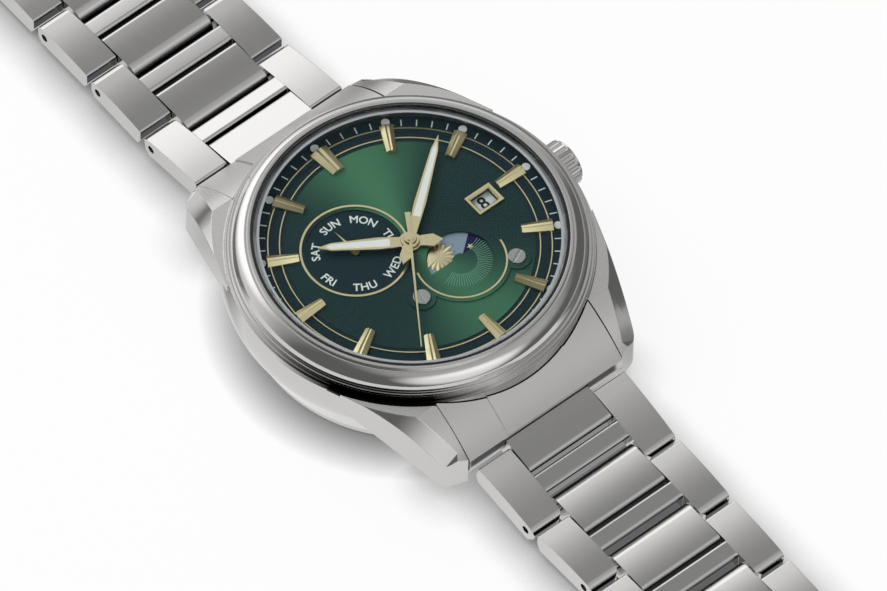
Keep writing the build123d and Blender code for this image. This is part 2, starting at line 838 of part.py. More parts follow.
with BuildPart() as train_bridge:
    with BuildSketch(Plane.XY.offset(bridge_bottom)):
        Circle(movement_radius)
        with Locations((balance_x, balance_y)):
            Circle(balance_radius + cut_overrun, mode=Mode.SUBTRACT)
        with Locations((balance_x * 2, balance_y * 2)):
            Circle(balance_radius * 2, mode=Mode.SUBTRACT)
    extrude(amount=bridge_thickness)
    with BuildSketch(Plane.XY.offset(bridge_top)):
        with Locations(*[(x * movement_radius, y * movement_radius)
                         for x, y in bridge_screw_spots_share]):
            Circle(pillar_radius)
    extrude(amount=plate_bottom - bridge_top)
save(train_bridge, "train_bridge")

with BuildPart() as jewels:
    with BuildSketch(Plane.XY.offset(bridge_bottom)):
        with Locations(*[(x * movement_radius, y * movement_radius)
                         for x, y in jewel_spots_share]):
            Circle(jewel_radius)
            Circle(jewel_bore, mode=Mode.SUBTRACT)
        with Locations((balance_x, balance_y)):
            Circle(jewel_radius)
            Circle(jewel_bore, mode=Mode.SUBTRACT)
    extrude(amount=-jewel_height)
save(jewels, "jewels")

with BuildPart() as bridge_screws:
    with BuildSketch(Plane.XY.offset(bridge_bottom)):
        with Locations(*[(x * movement_radius, y * movement_radius)
                         for x, y in bridge_screw_spots_share]):
            Circle(bridge_screw_radius)
    extrude(amount=-bridge_screw_height)
    with BuildSketch(Plane.XY.offset(bridge_bottom - bridge_screw_height)):
        with Locations(*[(x * movement_radius, y * movement_radius)
                         for x, y in bridge_screw_spots_share]):
            Rectangle(bridge_screw_radius * 2 + cut_overrun, screw_slot_width)
    extrude(amount=screw_slot_depth, mode=Mode.SUBTRACT)
save(bridge_screws, "bridge_screws")

with BuildPart() as balance_wheel:
    with BuildSketch(Plane((balance_x, balance_y, balance_height))):
        Circle(balance_radius)
        Circle(balance_radius - balance_rim_width, mode=Mode.SUBTRACT)
        for spoke in range(balance_spokes):
            with Locations(Location((0, 0, 0), (0, 0, spoke * 360 / balance_spokes))):
                with Locations((balance_radius / 2, 0)):
                    Rectangle(balance_radius - balance_rim_width, balance_spoke_width)
        Circle(balance_spoke_width)
    extrude(amount=balance_thickness)
    with BuildSketch(Plane((balance_x, balance_y, bridge_top))):
        Circle(balance_staff_radius)
    extrude(amount=plate_bottom + bridge_thickness - bridge_top - running_gap)
save(balance_wheel, "balance_wheel")

balance_reach = math.hypot(balance_x, balance_y)
cock_angle = math.degrees(math.atan2(balance_y, balance_x))
cock_foot_reach = movement_radius * cock_reach_share
with BuildPart() as balance_cock:
    with BuildSketch(Plane.XY.offset(bridge_bottom).rotated((0, 0, cock_angle))):
        with Locations((balance_reach, 0)):
            Circle(cock_hub_radius)
        with Locations((cock_foot_reach, 0)):
            Circle(cock_foot_radius)
        with Locations(((balance_reach + cock_foot_reach) / 2, 0)):
            Rectangle(cock_foot_reach - balance_reach, cock_width)
    extrude(amount=bridge_thickness - running_gap)
save(balance_cock, "balance_cock")

with BuildPart() as rotor_bearing:
    with BuildSketch(Plane.XY.offset(rotor_rim_bottom)):
        Circle(bearing_radius)
    extrude(amount=bridge_bottom - rotor_rim_bottom)
    with BuildSketch(Plane.XY.offset(rotor_rim_bottom)):
        Circle(bearing_flange_radius)
    extrude(amount=bearing_flange_height)
save(rotor_bearing, "rotor_bearing")

with BuildPart() as rotor:
    with BuildSketch(Plane.XY.offset(rotor_web_height)):
        with BuildLine():
            start = rotor_angle - rotor_span / 2
            arc = CenterArc((0, 0), rotor_radius, start, rotor_span)
            Line(arc @ 1, (0, 0))
            Line((0, 0), arc @ 0)
        make_face()
        Circle(rotor_hub_radius)
        Circle(bearing_radius + running_gap, mode=Mode.SUBTRACT)
    extrude(amount=rotor_web_thickness)
    with BuildSketch(Plane.XY.offset(rotor_rim_bottom)):
        with BuildLine():
            outer = CenterArc((0, 0), rotor_radius, start, rotor_span)
            inner = CenterArc((0, 0), rotor_radius - rotor_rim_width, start, rotor_span)
            Line(outer @ 0, inner @ 0)
            Line(outer @ 1, inner @ 1)
        make_face()
    extrude(amount=rotor_rim_top - rotor_rim_bottom)
save(rotor, "rotor")

# Case back: a ring with a neck, a glass in a rebate and notches for a key
with BuildPart() as case_back:
    neck_radius = case_back_bore_radius - seat_gap
    glass_seat = back_glass_radius + seat_gap
    with BuildSketch(Plane.XZ):
        Polygon(*[(back_window_radius, 0), (back_face_radius, 0),
                  (back_outer_radius, back_edge_height), (back_outer_radius, case_bottom),
                  (neck_radius, case_bottom), (neck_radius, case_shelf),
                  (neck_radius - back_neck_wall, case_shelf),
                  (neck_radius - back_neck_wall, case_bottom), (glass_seat, case_bottom),
                  (glass_seat, back_glass_bottom), (back_window_radius, back_glass_bottom)],
                align=None)
    revolve(axis=Axis.Z)
    with BuildSketch():
        with PolarLocations(back_notch_radius, back_notches):
            Rectangle(back_notch_width, back_notch_length)
    extrude(amount=back_notch_depth, mode=Mode.SUBTRACT)
save(case_back, "case_back")

with BuildPart() as back_glass:
    with BuildSketch(Plane.XY.offset(back_glass_bottom)):
        Circle(back_glass_radius)
    extrude(amount=back_glass_thickness)
save(back_glass, "back_glass")

# Crown on its stem, over a tube pressed in the case
with BuildPart() as crown_tube:
    with BuildSketch(Plane.YZ.offset(tube_start)):
        with Locations((0, crown_height)):
            Circle(tube_radius)
            Circle(tube_bore_radius, mode=Mode.SUBTRACT)
    extrude(amount=tube_end - tube_start)
save(crown_tube, "crown_tube")

with BuildPart() as crown:
    with BuildSketch(Plane.YZ.offset(crown_start)):
        with Locations((0, crown_height)):
            Circle(crown_radius)
            with PolarLocations(crown_radius, crown_flutes):
                Circle(crown_flute_radius, mode=Mode.SUBTRACT)
    extrude(amount=crown_end - crown_start - crown_chamfer)
    with BuildSketch(Plane.YZ.offset(crown_end - crown_chamfer)):
        with Locations((0, crown_height)):
            Circle(crown_radius - crown_flute_radius)
    extrude(amount=crown_chamfer)
    with BuildSketch(Plane.YZ.offset(crown_start)):
        with Locations((0, crown_height)):
            Circle(crown_bore_radius)
    extrude(amount=crown_bore_depth, mode=Mode.SUBTRACT)
save(crown, "crown")

with BuildPart() as winding_stem:
    with BuildSketch(Plane.YZ.offset(stem_start)):
        with Locations((0, crown_height)):
            Circle(stem_radius)
    extrude(amount=crown_start + crown_bore_depth - stem_start)
save(winding_stem, "winding_stem")

with BuildPart() as crown_gasket:
    with BuildSketch(Plane.YZ.offset(crown_gasket_start)):
        with Locations((0, crown_height)):
            Circle(crown_bore_radius - running_gap)
            Circle(tube_radius + running_gap, mode=Mode.SUBTRACT)
    extrude(amount=crown_gasket_width)
save(crown_gasket, "crown_gasket")

# Spring bars hold the end links between the lugs
with BuildPart() as spring_bars:
    bar_spots = ((spring_bar_y, spring_bar_height), (-spring_bar_y, spring_bar_height))
    with BuildSketch(Plane.YZ):
        with Locations(*bar_spots):
            Circle(spring_bar_radius)
    extrude(amount=lug_gap_half - end_link_gap, both=True)
    with BuildSketch(Plane.YZ):
        with Locations(*bar_spots):
            Circle(spring_bar_tip_radius)
    extrude(amount=lug_gap_half + spring_bar_tip - seat_gap, both=True)
save(spring_bars, "spring_bars")


def end_link(side):
    """Solid end link between the lugs on one side: side is 1 at noon and -1 at six."""
    half_width = lug_gap_half - end_link_gap
    pocket_half = link_half_width * link_center_share + link_side_gap
    plane = Plane((0, 0, 0), x_dir=(0, side, 0), z_dir=(side, 0, 0))

    with BuildPart() as piece:
        for half, rise in ((half_width, 0), (end_center_half, end_center_rise)):
            top = rise - end_link_top_drop
            front = (end_face_y, end_face_top + end_link_top_drop + top)
            with BuildSketch(plane):
                with BuildLine():
                    ThreePointArc((lug_bend_y, lug_bend_height + top),
                                  (lug_middle_y, lug_middle_height + top), front)
                    Polyline(front, (end_face_y, end_face_middle),
                             (end_face_heel_y, end_face_heel), (end_bottom_y, end_bottom),
                             (case_bore_radius, end_bottom),
                             (case_bore_radius - cut_overrun, lug_bend_height + top),
                             (lug_bend_y, lug_bend_height + top))
                make_face()
            extrude(amount=half, both=True)
        with BuildSketch():
            Circle(case_top_radius + end_link_gap)
        extrude(amount=case_top + cut_overrun, mode=Mode.SUBTRACT)
        with BuildSketch(plane):
            with Locations((end_pivot_y, end_pivot_height)):
                Circle(end_pocket_radius)
            with Locations((end_pivot_y + end_pocket_radius,
                            end_pivot_height)):
                Rectangle(end_pocket_radius * 2, end_pocket_radius * 2)
            with Locations((end_pivot_y, end_pivot_height - end_pocket_radius)):
                Rectangle(end_pocket_radius * 2, end_pocket_radius * 2)
        extrude(amount=pocket_half, both=True, mode=Mode.SUBTRACT)
        with BuildSketch(plane):
            with Locations((end_pivot_y, end_pivot_height)):
                Circle(link_pin_radius + seat_gap)
            with Locations((spring_bar_y, spring_bar_height)):
                Circle(spring_bar_radius + seat_gap)
        extrude(amount=half_width, both=True, mode=Mode.SUBTRACT)
        with BuildSketch(plane):
            with Locations((end_pivot_y, end_pivot_height)):
                Circle(link_pin_radius)
        extrude(amount=half_width - link_pin_recess, both=True)
    return piece


save(end_link(1), "end_link_noon")
save(end_link(-1), "end_link_six")

# Bracelet chain: pin places and slopes of the links as they lie on a table, out from the case


def lay_chain(pin_heights, count):
    """Places of the pins of one side, from the end link's pin to the far end of the last link."""
    heights = list(pin_heights) + [flat_pivot_height] * (count - len(pin_heights))
    places = [(end_pivot_y, end_pivot_height)]
    for height in heights:
        distance, before = places[-1]
        reach = math.sqrt(link_pitch ** 2 - (before - height) ** 2)
        places.append((distance + reach, height))
    return places


pivots = {1: lay_chain(noon_pin_heights, links_toward_noon),
          -1: lay_chain(six_pin_heights, links_toward_six)}


def link_plane(side, index):
    """Plane of a link: x runs away from the case, y up through the link, origin at its pivot."""
    distance, height = pivots[side][index]
    next_distance, next_height = pivots[side][index + 1]
    along = (0, side * (next_distance - distance), next_height - height)
    return Plane((0, side * distance, height), x_dir=along, z_dir=(side, 0, 0))


def bracelet_link(side, index, has_far_pin):
    """One bracelet link: an H of two outer links and a bar, a wide center piece and two pins."""
    plane = link_plane(side, index)
    near_half = link_half_width - link_taper * index
    far_half = near_half - link_taper
    center_half = near_half * link_center_share
    next_center_half = far_half * link_center_share
    inner_half = center_half + link_side_gap
    near_face = link_near_face if index else first_near_face
    far_face = link_pitch + link_far_reach
    heel = -link_half * link_heel_share
    edge = link_half - link_crown_drop
    bar_top = link_half - link_bar_drop

    with BuildPart() as frame:
        with BuildSketch(plane) as side_view:
            with BuildLine():
                Polyline((far_face, edge), (far_face, heel),
                         (far_face - link_far_heel, -link_half),
                         (near_face + link_near_heel, -link_half),
                         (near_face, heel), (near_face, edge))
                ThreePointArc((near_face, edge), ((near_face + far_face) / 2, link_half),
                              (far_face, edge))
            make_face()
            top_corners = side_view.vertices().group_by(Axis.Y)[-1].sort_by(Axis.X)
            fillet(top_corners[0], link_near_radius)
            far_corners = side_view.vertices().group_by(Axis.X)[-1].sort_by(Axis.Y)
            fillet(far_corners[-1], link_nose_radius)
        extrude(amount=near_half, both=True)
        with BuildSketch(plane):
            with Locations(((near_face + far_face) / 2, 0)):
                Rectangle(link_pitch + link_thickness, link_thickness + cut_overrun)
        extrude(amount=inner_half, both=True, mode=Mode.SUBTRACT)
        with BuildSketch(plane) as bar_view:
            with BuildLine():
                Polyline((link_bar_start, bar_top), (link_bar_end, bar_top),
                         (link_bar_end, link_bar_foot - link_half),
                         (link_bar_start, link_bar_foot - link_half),
                         (link_bar_start, bar_top))
            make_face()
            fillet(bar_view.vertices().group_by(Axis.Y)[-1], link_bar_corner)
        extrude(amount=inner_half, both=True)
        plan = Plane(plane.origin, x_dir=plane.x_dir, z_dir=plane.y_dir)
        with BuildSketch(plan) as plan_view:
            Polygon((0, -near_half), (far_face, -far_half), (far_face, far_half),
                    (0, near_half), align=None)
            with Locations((far_face, 0)):
                Rectangle((far_face - link_bar_end) * 2, inner_half * 2, mode=Mode.SUBTRACT)
            end_corners = plan_view.vertices().group_by(Axis.X)[-1].sort_by(Axis.Y)
            fillet(end_corners[1:-1], link_inner_radius)
            end_corners = plan_view.vertices().group_by(Axis.X)[-1].sort_by(Axis.Y)
            fillet((end_corners[0], end_corners[-1]), link_outer_radius)
        extrude(amount=link_thickness, both=True, mode=Mode.INTERSECT)
        with BuildSketch(plane):
            with Locations((link_pitch, 0)):
                Circle(link_pin_radius + seat_gap)
        extrude(amount=near_half, both=True, mode=Mode.SUBTRACT)
        with BuildSketch(plane):
            with Locations((link_fixed_pin_spot, 0)):
                Circle(link_pin_radius + seat_gap)
        extrude(amount=inner_half + link_fixed_pin_bite + seat_gap, both=True,
                mode=Mode.SUBTRACT)

    with BuildPart() as center:
        with BuildSketch(plane) as center_view:
            with BuildLine():
                ThreePointArc((0, link_half), (-link_half, 0), (0, -link_half))
                Polyline((0, -link_half), (link_center_end, -link_half),
                         (link_center_end, link_half), (0, link_half))
            make_face()
            fillet(center_view.vertices().sort_by(Axis.X)[-2:], link_corner_radius)
            Circle(link_pin_radius + running_gap, mode=Mode.SUBTRACT)
            with Locations((link_fixed_pin_spot, 0)):
                Circle(link_pin_radius + seat_gap, mode=Mode.SUBTRACT)
        extrude(amount=center_half - link_side_gap, both=True)

    with BuildPart() as piece:
        add(frame.part)
        add(center.part)
        with BuildSketch(plane):
            with Locations((link_fixed_pin_spot, 0)):
                Circle(link_pin_radius)
        extrude(amount=inner_half + link_fixed_pin_bite, both=True)
        if has_far_pin:
            with BuildSketch(plane):
                with Locations((link_pitch, 0)):
                    Circle(link_pin_radius)
            extrude(amount=far_half - link_pin_recess, both=True)
    return piece


for index in range(links_toward_noon):
    save(bracelet_link(1, index, True), "link_noon_" + str(index + 1))
# The last link toward six keeps an empty pin hole, where the clasp blade is pinned in use
for index in range(links_toward_six):
    save(bracelet_link(-1, index, index < links_toward_six - 1), "link_six_" + str(index + 1))

# Clasp: a cover, two blades folded under it and a push button in each side wall
clasp_y, clasp_pivot_height = pivots[1][links_toward_noon]
last_half = link_half_width - link_taper * links_toward_noon
cover_half = last_half + clasp_width_extra
tongue_half = last_half * link_center_share - link_side_gap
clasp_end = clasp_near_face + clasp_length
clasp_plane = Plane((0, clasp_y, 0), x_dir=(0, 1, 0), z_dir=(1, 0, 0))
clasp_middle = (clasp_near_face + clasp_end) / 2
with BuildPart() as clasp_cover:
    with BuildSketch(clasp_plane) as cover_view:
        with BuildLine():
            ThreePointArc((clasp_near_face, clasp_end_top), (clasp_middle, clasp_middle_top),
                          (clasp_end, clasp_end_top))
            Polyline((clasp_end, clasp_end_top), (clasp_end, clasp_bottom),
                     (clasp_near_face, clasp_bottom), (clasp_near_face, clasp_end_top))
        make_face()
        fillet(cover_view.vertices().group_by(Axis.Y)[-1], clasp_corner_radius)
    extrude(amount=cover_half, both=True)
    with BuildSketch(clasp_plane):
        with BuildLine():
            cavity_start = clasp_near_face + clasp_block
            ThreePointArc((cavity_start, clasp_end_top - clasp_skin),
                          (clasp_middle, clasp_middle_top - clasp_skin),
                          (clasp_end + cut_overrun, clasp_end_top - clasp_skin))
            Polyline((clasp_end + cut_overrun, clasp_end_top - clasp_skin),
                     (clasp_end + cut_overrun, 0), (cavity_start, 0),
                     (cavity_start, clasp_end_top - clasp_skin))
        make_face()
    extrude(amount=cover_half - clasp_wall, both=True, mode=Mode.SUBTRACT)
    with BuildSketch(clasp_plane):
        with Locations((0, clasp_pivot_height)):
            Circle(link_half)
            with Locations((clasp_near_face, 0)):
                Rectangle(clasp_near_face * 2, link_half)
    extrude(amount=tongue_half, both=True)
    with BuildSketch(clasp_plane):
        with Locations((0, clasp_pivot_height)):
            Circle(link_pin_radius + running_gap)
    extrude(amount=tongue_half, both=True, mode=Mode.SUBTRACT)
    with BuildSketch(clasp_plane):
        with Locations((blade_far_u, blade_far_height)):
            Circle(link_pin_radius + seat_gap)
    extrude(amount=cover_half, both=True, mode=Mode.SUBTRACT)
    with BuildSketch(clasp_plane):
        with Locations((button_u, button_height)):
            Circle(button_radius + running_gap)
    extrude(amount=cover_half, both=True, mode=Mode.SUBTRACT)
    with BuildSketch(clasp_plane):
        with Locations((blade_far_u, blade_far_height)):
            Circle(link_pin_radius)
    extrude(amount=cover_half - link_pin_recess, both=True)
save(clasp_cover, "clasp_cover")


def blade_plate(start, end, bow):
    """Side view of a thin bowed blade between two pivots, as a sketch."""
    half = blade_thickness / 2
    middle = ((start[0] + end[0]) / 2, (start[1] + end[1]) / 2 + bow)
    with BuildSketch() as view:
        with BuildLine():
            Spline((start[0], start[1] + half), (middle[0], middle[1] + half),
                   (end[0], end[1] + half))
            Line((end[0], end[1] + half), (end[0], end[1] - half))
            Spline((end[0], end[1] - half), (middle[0], middle[1] - half),
                   (start[0], start[1] - half))
            Line((start[0], start[1] - half), (start[0], start[1] + half))
        make_face()
    return view.sketch


blade_far = (blade_far_u, blade_far_height)
blade_near = (blade_near_u, blade_near_height)
blade_end = (blade_end_u, blade_end_height)
knuckle_clear = blade_knuckle_radius + running_gap * 2
outer_plate = blade_plate((blade_near_u, blade_near_height + blade_lift),
                          (blade_far_u, blade_far_height), blade_bow)
inner_plate = blade_plate((blade_near_u, blade_near_height - blade_lift),
                          (blade_end_u, blade_near_height - blade_lift), 0)
with BuildPart() as clasp_blade_outer:
    with BuildSketch(clasp_plane):
        add(outer_plate)
    extrude(amount=blade_half_width, both=True)
    with BuildSketch(clasp_plane):
        with Locations(blade_near):
            Circle(knuckle_clear)
    extrude(amount=blade_half_width, both=True, mode=Mode.SUBTRACT)
    with BuildSketch(clasp_plane):
        add(outer_plate)
        with Locations(blade_near):
            Circle(blade_knuckle_radius)
    extrude(amount=blade_center_half - link_side_gap, both=True)
    with BuildSketch(clasp_plane):
        with Locations(blade_far):
            Circle(blade_knuckle_radius)
    extrude(amount=cover_half - clasp_wall - link_side_gap, both=True)
    with BuildSketch(clasp_plane):
        with Locations(blade_far):
            Circle(link_pin_radius + running_gap)
    extrude(amount=cover_half, both=True, mode=Mode.SUBTRACT)
    with BuildSketch(clasp_plane):
        with Locations(blade_near):
            Circle(link_pin_radius + seat_gap)
    extrude(amount=blade_half_width, both=True, mode=Mode.SUBTRACT)
    with BuildSketch(clasp_plane):
        with Locations(blade_near):
            Circle(link_pin_radius)
    extrude(amount=blade_half_width - link_side_gap, both=True)
save(clasp_blade_outer, "clasp_blade_outer")

six_half = link_half_width - link_taper * links_toward_six
bar_tube_half = six_half * link_center_share - link_side_gap
with BuildPart() as clasp_blade_inner:
    with BuildSketch(clasp_plane):
        add(inner_plate)
        with Locations(blade_near):
            Circle(blade_knuckle_radius)
    extrude(amount=blade_half_width, both=True)
    with BuildSketch(clasp_plane):
        with Locations((blade_near_u, blade_near_height)):
            Rectangle(knuckle_clear * 2, knuckle_clear * 2)
    extrude(amount=blade_center_half + link_side_gap, both=True, mode=Mode.SUBTRACT)
    with BuildSketch(clasp_plane):
        with Locations(blade_end):
            Circle(blade_knuckle_radius)
    extrude(amount=bar_tube_half, both=True)
    with BuildSketch(clasp_plane):
        with Locations(blade_near):
            Circle(link_pin_radius + running_gap)
        with Locations(blade_end):
            Circle(link_pin_radius + seat_gap)
    extrude(amount=blade_half_width, both=True, mode=Mode.SUBTRACT)
    with BuildSketch(clasp_plane):
        with Locations(blade_end):
            Circle(link_pin_radius)
    extrude(amount=six_half - link_pin_recess, both=True)
save(clasp_blade_inner, "clasp_blade_inner")

for side, label in ((1, "clasp_button_crown_side"), (-1, "clasp_button_far_side")):
    inner_wall = cover_half - clasp_wall
    button_plane = Plane((side * (inner_wall - link_side_gap), clasp_y, 0),
                         x_dir=(0, 1, 0), z_dir=(1, 0, 0))
    with BuildPart() as button:
        with BuildSketch(button_plane):
            with Locations((button_u, button_height)):
                Circle(button_radius)
        extrude(amount=side * (clasp_wall + link_side_gap + button_proud))
        with BuildSketch(button_plane):
            with Locations((button_u, button_height)):
                Circle(button_flange_radius)
        extrude(amount=-side * button_flange)
    save(button, label)
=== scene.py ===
# %% [markdown]
# # A wristwatch with day, date and sun and moon displays
# The watch lies open on a pale table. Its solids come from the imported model, so this
# lesson gives them their real finishes and adds what is printed, engraved or set on the dial.
# Everything is in metres, in the frame of the solids: +Z out of the dial, +Y to twelve
# o'clock and +X to the crown. The first cell loads that frame and the tools that are used.

# %% Load the frame
import json
import math

import bpy
import numpy as np
from mathutils import Matrix, Vector


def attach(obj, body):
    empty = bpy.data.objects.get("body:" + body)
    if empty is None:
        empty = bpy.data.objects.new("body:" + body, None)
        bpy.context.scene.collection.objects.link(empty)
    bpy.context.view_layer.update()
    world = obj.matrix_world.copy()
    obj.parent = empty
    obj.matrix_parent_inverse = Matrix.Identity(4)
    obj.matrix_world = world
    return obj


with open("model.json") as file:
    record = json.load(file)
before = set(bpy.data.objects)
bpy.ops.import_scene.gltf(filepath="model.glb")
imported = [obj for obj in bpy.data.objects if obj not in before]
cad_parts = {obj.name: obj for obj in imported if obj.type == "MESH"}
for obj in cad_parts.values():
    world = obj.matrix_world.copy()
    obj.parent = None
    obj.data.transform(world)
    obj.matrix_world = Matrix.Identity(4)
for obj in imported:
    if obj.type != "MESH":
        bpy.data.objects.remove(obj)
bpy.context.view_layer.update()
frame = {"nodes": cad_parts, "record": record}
nodes = frame["nodes"]
mm = 0.001

# %% [markdown]
# ## Camera
# The photograph was fitted with the circles of the dial and the pins of the bracelet. Its
# two ends are equally large, so the camera stands far off with a very long lens. The three
# rows below are the picture's right, down and depth in the watch's frame.

# %% Camera from the fitted picture
picture_width = 887
focal_pixels = 27000
sensor_mm = 36
clip_near, clip_far = 0.05, 20  # metres: the camera stands 2.8 m away
picture_right = Vector((0.771115016, -0.636526174, 0.014698915))
picture_down = Vector((-0.517729186, -0.640302435, -0.567423379))
picture_depth = Vector((0.370591585, 0.429938634, -0.823294992))
camera_place = Vector((-1045.830, -1218.871, 2331.508)) * mm

camera_data = bpy.data.cameras.new("camera")
camera_data.sensor_width = sensor_mm
camera_data.lens = focal_pixels / picture_width * sensor_mm
camera_data.clip_start, camera_data.clip_end = clip_near, clip_far
camera = bpy.data.objects.new("camera", camera_data)
turn = Matrix((picture_right, -picture_down, -picture_depth)).transposed()
camera.matrix_world = Matrix.Translation(camera_place) @ turn.to_4x4()
bpy.context.scene.collection.objects.link(camera)
bpy.context.scene.camera = camera
bpy.context.scene.view_settings.view_transform = "Standard"
print("lens", round(camera_data.lens, 1), "mm")

# %% [markdown]
# ## Colours and nodes
# Colours are written as sRGB hex values, as a picture editor shows them, and one function
# turns them to the linear values that the renderer adds up. One more function adds a node,
# sets it and links it, so that a material reads as a short list of steps.

# %% Colour and node helpers
def linear(code):
    """Linear colour of an sRGB hex code: the standard curve, part by part, and alpha 1."""
    parts = np.array([int(code[place:place + 2], 16) for place in (1, 3, 5)]) / 255
    curve = np.where(parts <= 0.04045, parts / 12.92, ((parts + 0.055) / 1.055) ** 2.4)
    return (*curve.tolist(), 1.0)


def add(tree, kind, inputs=None, out=0, to=None, **settings):
    """Add a node, fill its inputs with values or links, and pass on one of its outputs."""
    made = tree.nodes.new(kind)
    for name, value in settings.items():
        setattr(made, name, value)
    for name, value in (inputs or {}).items():
        if isinstance(value, bpy.types.NodeSocket):
            tree.links.new(value, made.inputs[name])
        else:
            made.inputs[name].default_value = value
    if to is not None:
        tree.links.new(made.outputs[out], to)
    return made.outputs[out]


def start_material(name, **sockets):
    """A new material with its tree, its shader's sockets, and the places on the object."""
    material = bpy.data.materials.new(name)
    material.use_nodes = True
    tree = material.node_tree
    shader = tree.nodes["Principled BSDF"].inputs
    for socket, value in sockets.items():
        shader[socket.replace("_", " ")].default_value = value
    return material, tree, shader, add(tree, "ShaderNodeTexCoord", out="Object")


def grains(tree, place, size_mm, detail=3.0):
    """Noise whose grains have the given sizes in millimetres along X, Y and Z."""
    scaled = add(tree, "ShaderNodeMapping",
                 {"Vector": place, "Scale": [1 / (size * mm) for size in size_mm]})
    return add(tree, "ShaderNodeTexNoise", {"Vector": scaled, "Scale": 1.0, "Detail": detail})


print("helpers ready")

# %% [markdown]
# ## Brushed steel
# The watch is of 316L stainless steel. Emery belts drawn along the bracelet leave fine
# parallel scratches, which give the eye a soft sheen that spreads across them. Real
# scratches are about 0.02 mm apart, too fine for this picture, so they are drawn 0.12 mm
# apart. Noise stretched along Y gives their heights, and the shader's own anisotropy
# gives the sheen of those that are too fine to draw.

# %% Brushed steel
scratch_mm = (0.12, 5.0, 0.12)
scratch_depth = 0.0022 * mm
steel_tint = "#D2D1CF"


def brushed_steel(name, tint=steel_tint, haze=(0.24, 0.4)):
    """Steel with scratches along Y: stretched noise sets the roughness and the relief."""
    material, tree, shader, place = start_material(
        name, Base_Color=linear(tint), Metallic=1.0, Anisotropic=0.55)
    scratches = grains(tree, place, scratch_mm)
    add(tree, "ShaderNodeMapRange", {"Value": scratches, "To Min": haze[0], "To Max": haze[1]},
        to=shader["Roughness"])
    add(tree, "ShaderNodeBump", {"Height": scratches, "Distance": scratch_depth},
        to=shader["Normal"])
    add(tree, "ShaderNodeCombineXYZ", {"Y": 1.0}, to=shader["Tangent"])
    return material


brushed = brushed_steel("brushed 316L steel")
print(brushed.name, "scratches", scratch_mm[0], "mm apart")

# %% [markdown]
# ## Polished steel and plated brass
# A buffed face is a mirror with a trace of haze that changes over a few millimetres, where
# the cloth wheel pressed more or less. The hands and markers are brass, cut with a diamond
# and plated a pale champagne, so they are polished too, with finer clouds.
#
# The steps under the bezel lie in the shade of its overhang, and on the side that faces
# between six and nine they mirror only each other, so there their colour is painted nearly
# black: painted shade and painted reflection.

# %% Polished metal
# The last value is the nearly black colour painted as shade and reflection under the bezel.
neck_way, neck_leans, painted_neck_shade = (-0.75, -0.66, 0), (0.8, 0.96), "#0C0C0D"


def neck_shade(tree, place, heights_mm, radius_mm=19.95):
    """Mask of painted shade: one between two heights and inside a radius, on the side of the
    shaded direction: the lean of the place toward it rises from none to full between two
    values."""
    parts = add(tree, "ShaderNodeSeparateXYZ", {"Vector": place}).node.outputs
    above = add(tree, "ShaderNodeMath", {0: parts["Z"], 1: heights_mm[0] * mm},
                operation="GREATER_THAN")
    below = add(tree, "ShaderNodeMath", {0: parts["Z"], 1: heights_mm[1] * mm},
                operation="LESS_THAN")
    flat = add(tree, "ShaderNodeVectorMath", {0: place, 1: (1, 1, 0)}, operation="MULTIPLY")
    radius = add(tree, "ShaderNodeVectorMath", {0: flat}, out="Value", operation="LENGTH")
    inside = add(tree, "ShaderNodeMath", {0: radius, 1: radius_mm * mm},
                 operation="LESS_THAN")
    ray = add(tree, "ShaderNodeVectorMath", {0: flat}, operation="NORMALIZE")
    lean = add(tree, "ShaderNodeVectorMath", {0: ray, 1: neck_way}, out="Value",
               operation="DOT_PRODUCT")
    shade = add(tree, "ShaderNodeMapRange",
                {"Value": lean, "From Min": neck_leans[0], "From Max": neck_leans[1]})
    for part in (above, below, inside):
        shade = add(tree, "ShaderNodeMath", {0: shade, 1: part}, operation="MULTIPLY")
    return shade


def polished_metal(name, tint, haze, cloud_mm=3.0, round_mm=0.1, shaded_mm=()):
    """Buffed metal: clouds of the given size in millimetres set the haze, and the edges are
    rounded off by the given radius. Each pair of heights is a step whose colour is painted
    dark as shade."""
    material, tree, shader, place = start_material(name, Base_Color=linear(tint), Metallic=1.0)
    # Painted shade and reflection: the steps between the given heights are coloured nearly
    # black.
    if shaded_mm:
        low, high = [neck_shade(tree, place, heights) for heights in shaded_mm]
        both = add(tree, "ShaderNodeMath", {0: low, 1: high}, operation="MAXIMUM")
        add(tree, "ShaderNodeMix", {0: both, 6: linear(tint), 7: linear(painted_neck_shade)}, out=2,
            to=shader["Base Color"], data_type="RGBA")
    clouds = grains(tree, place, (cloud_mm, cloud_mm, cloud_mm))
    add(tree, "ShaderNodeMapRange", {"Value": clouds, "To Min": haze[0], "To Max": haze[1]},
        to=shader["Roughness"])
    add(tree, "ShaderNodeBevel", {"Radius": round_mm * mm}, samples=4, to=shader["Normal"])
    return material


buffed_haze = (0.05, 0.1)
# Heights of the bezel's steps whose colour is painted dark as shade.
bezel_steps_mm = ((10.4, 10.86), (11.3, 11.62))
polished = polished_metal("polished 316L steel", steel_tint, haze=buffed_haze)
bezel_steel = polished_metal("polished bezel steel", steel_tint, haze=buffed_haze,
                             shaded_mm=bezel_steps_mm)
turned = polished_metal("fine turned steel", "#B9B8BC", haze=(0.42, 0.55))
champagne = polished_metal("champagne plated brass", "#FFEBC0", haze=(0.24, 0.36),
                           cloud_mm=0.5, round_mm=0.04)
gilt = polished_metal("gilt brass", "#C79A52", haze=(0.25, 0.4), cloud_mm=0.3)
blued = polished_metal("blued steel", "#1F3A8A", haze=(0.1, 0.2), cloud_mm=0.5)
print(polished.name, turned.name, champagne.name, gilt.name, blued.name)
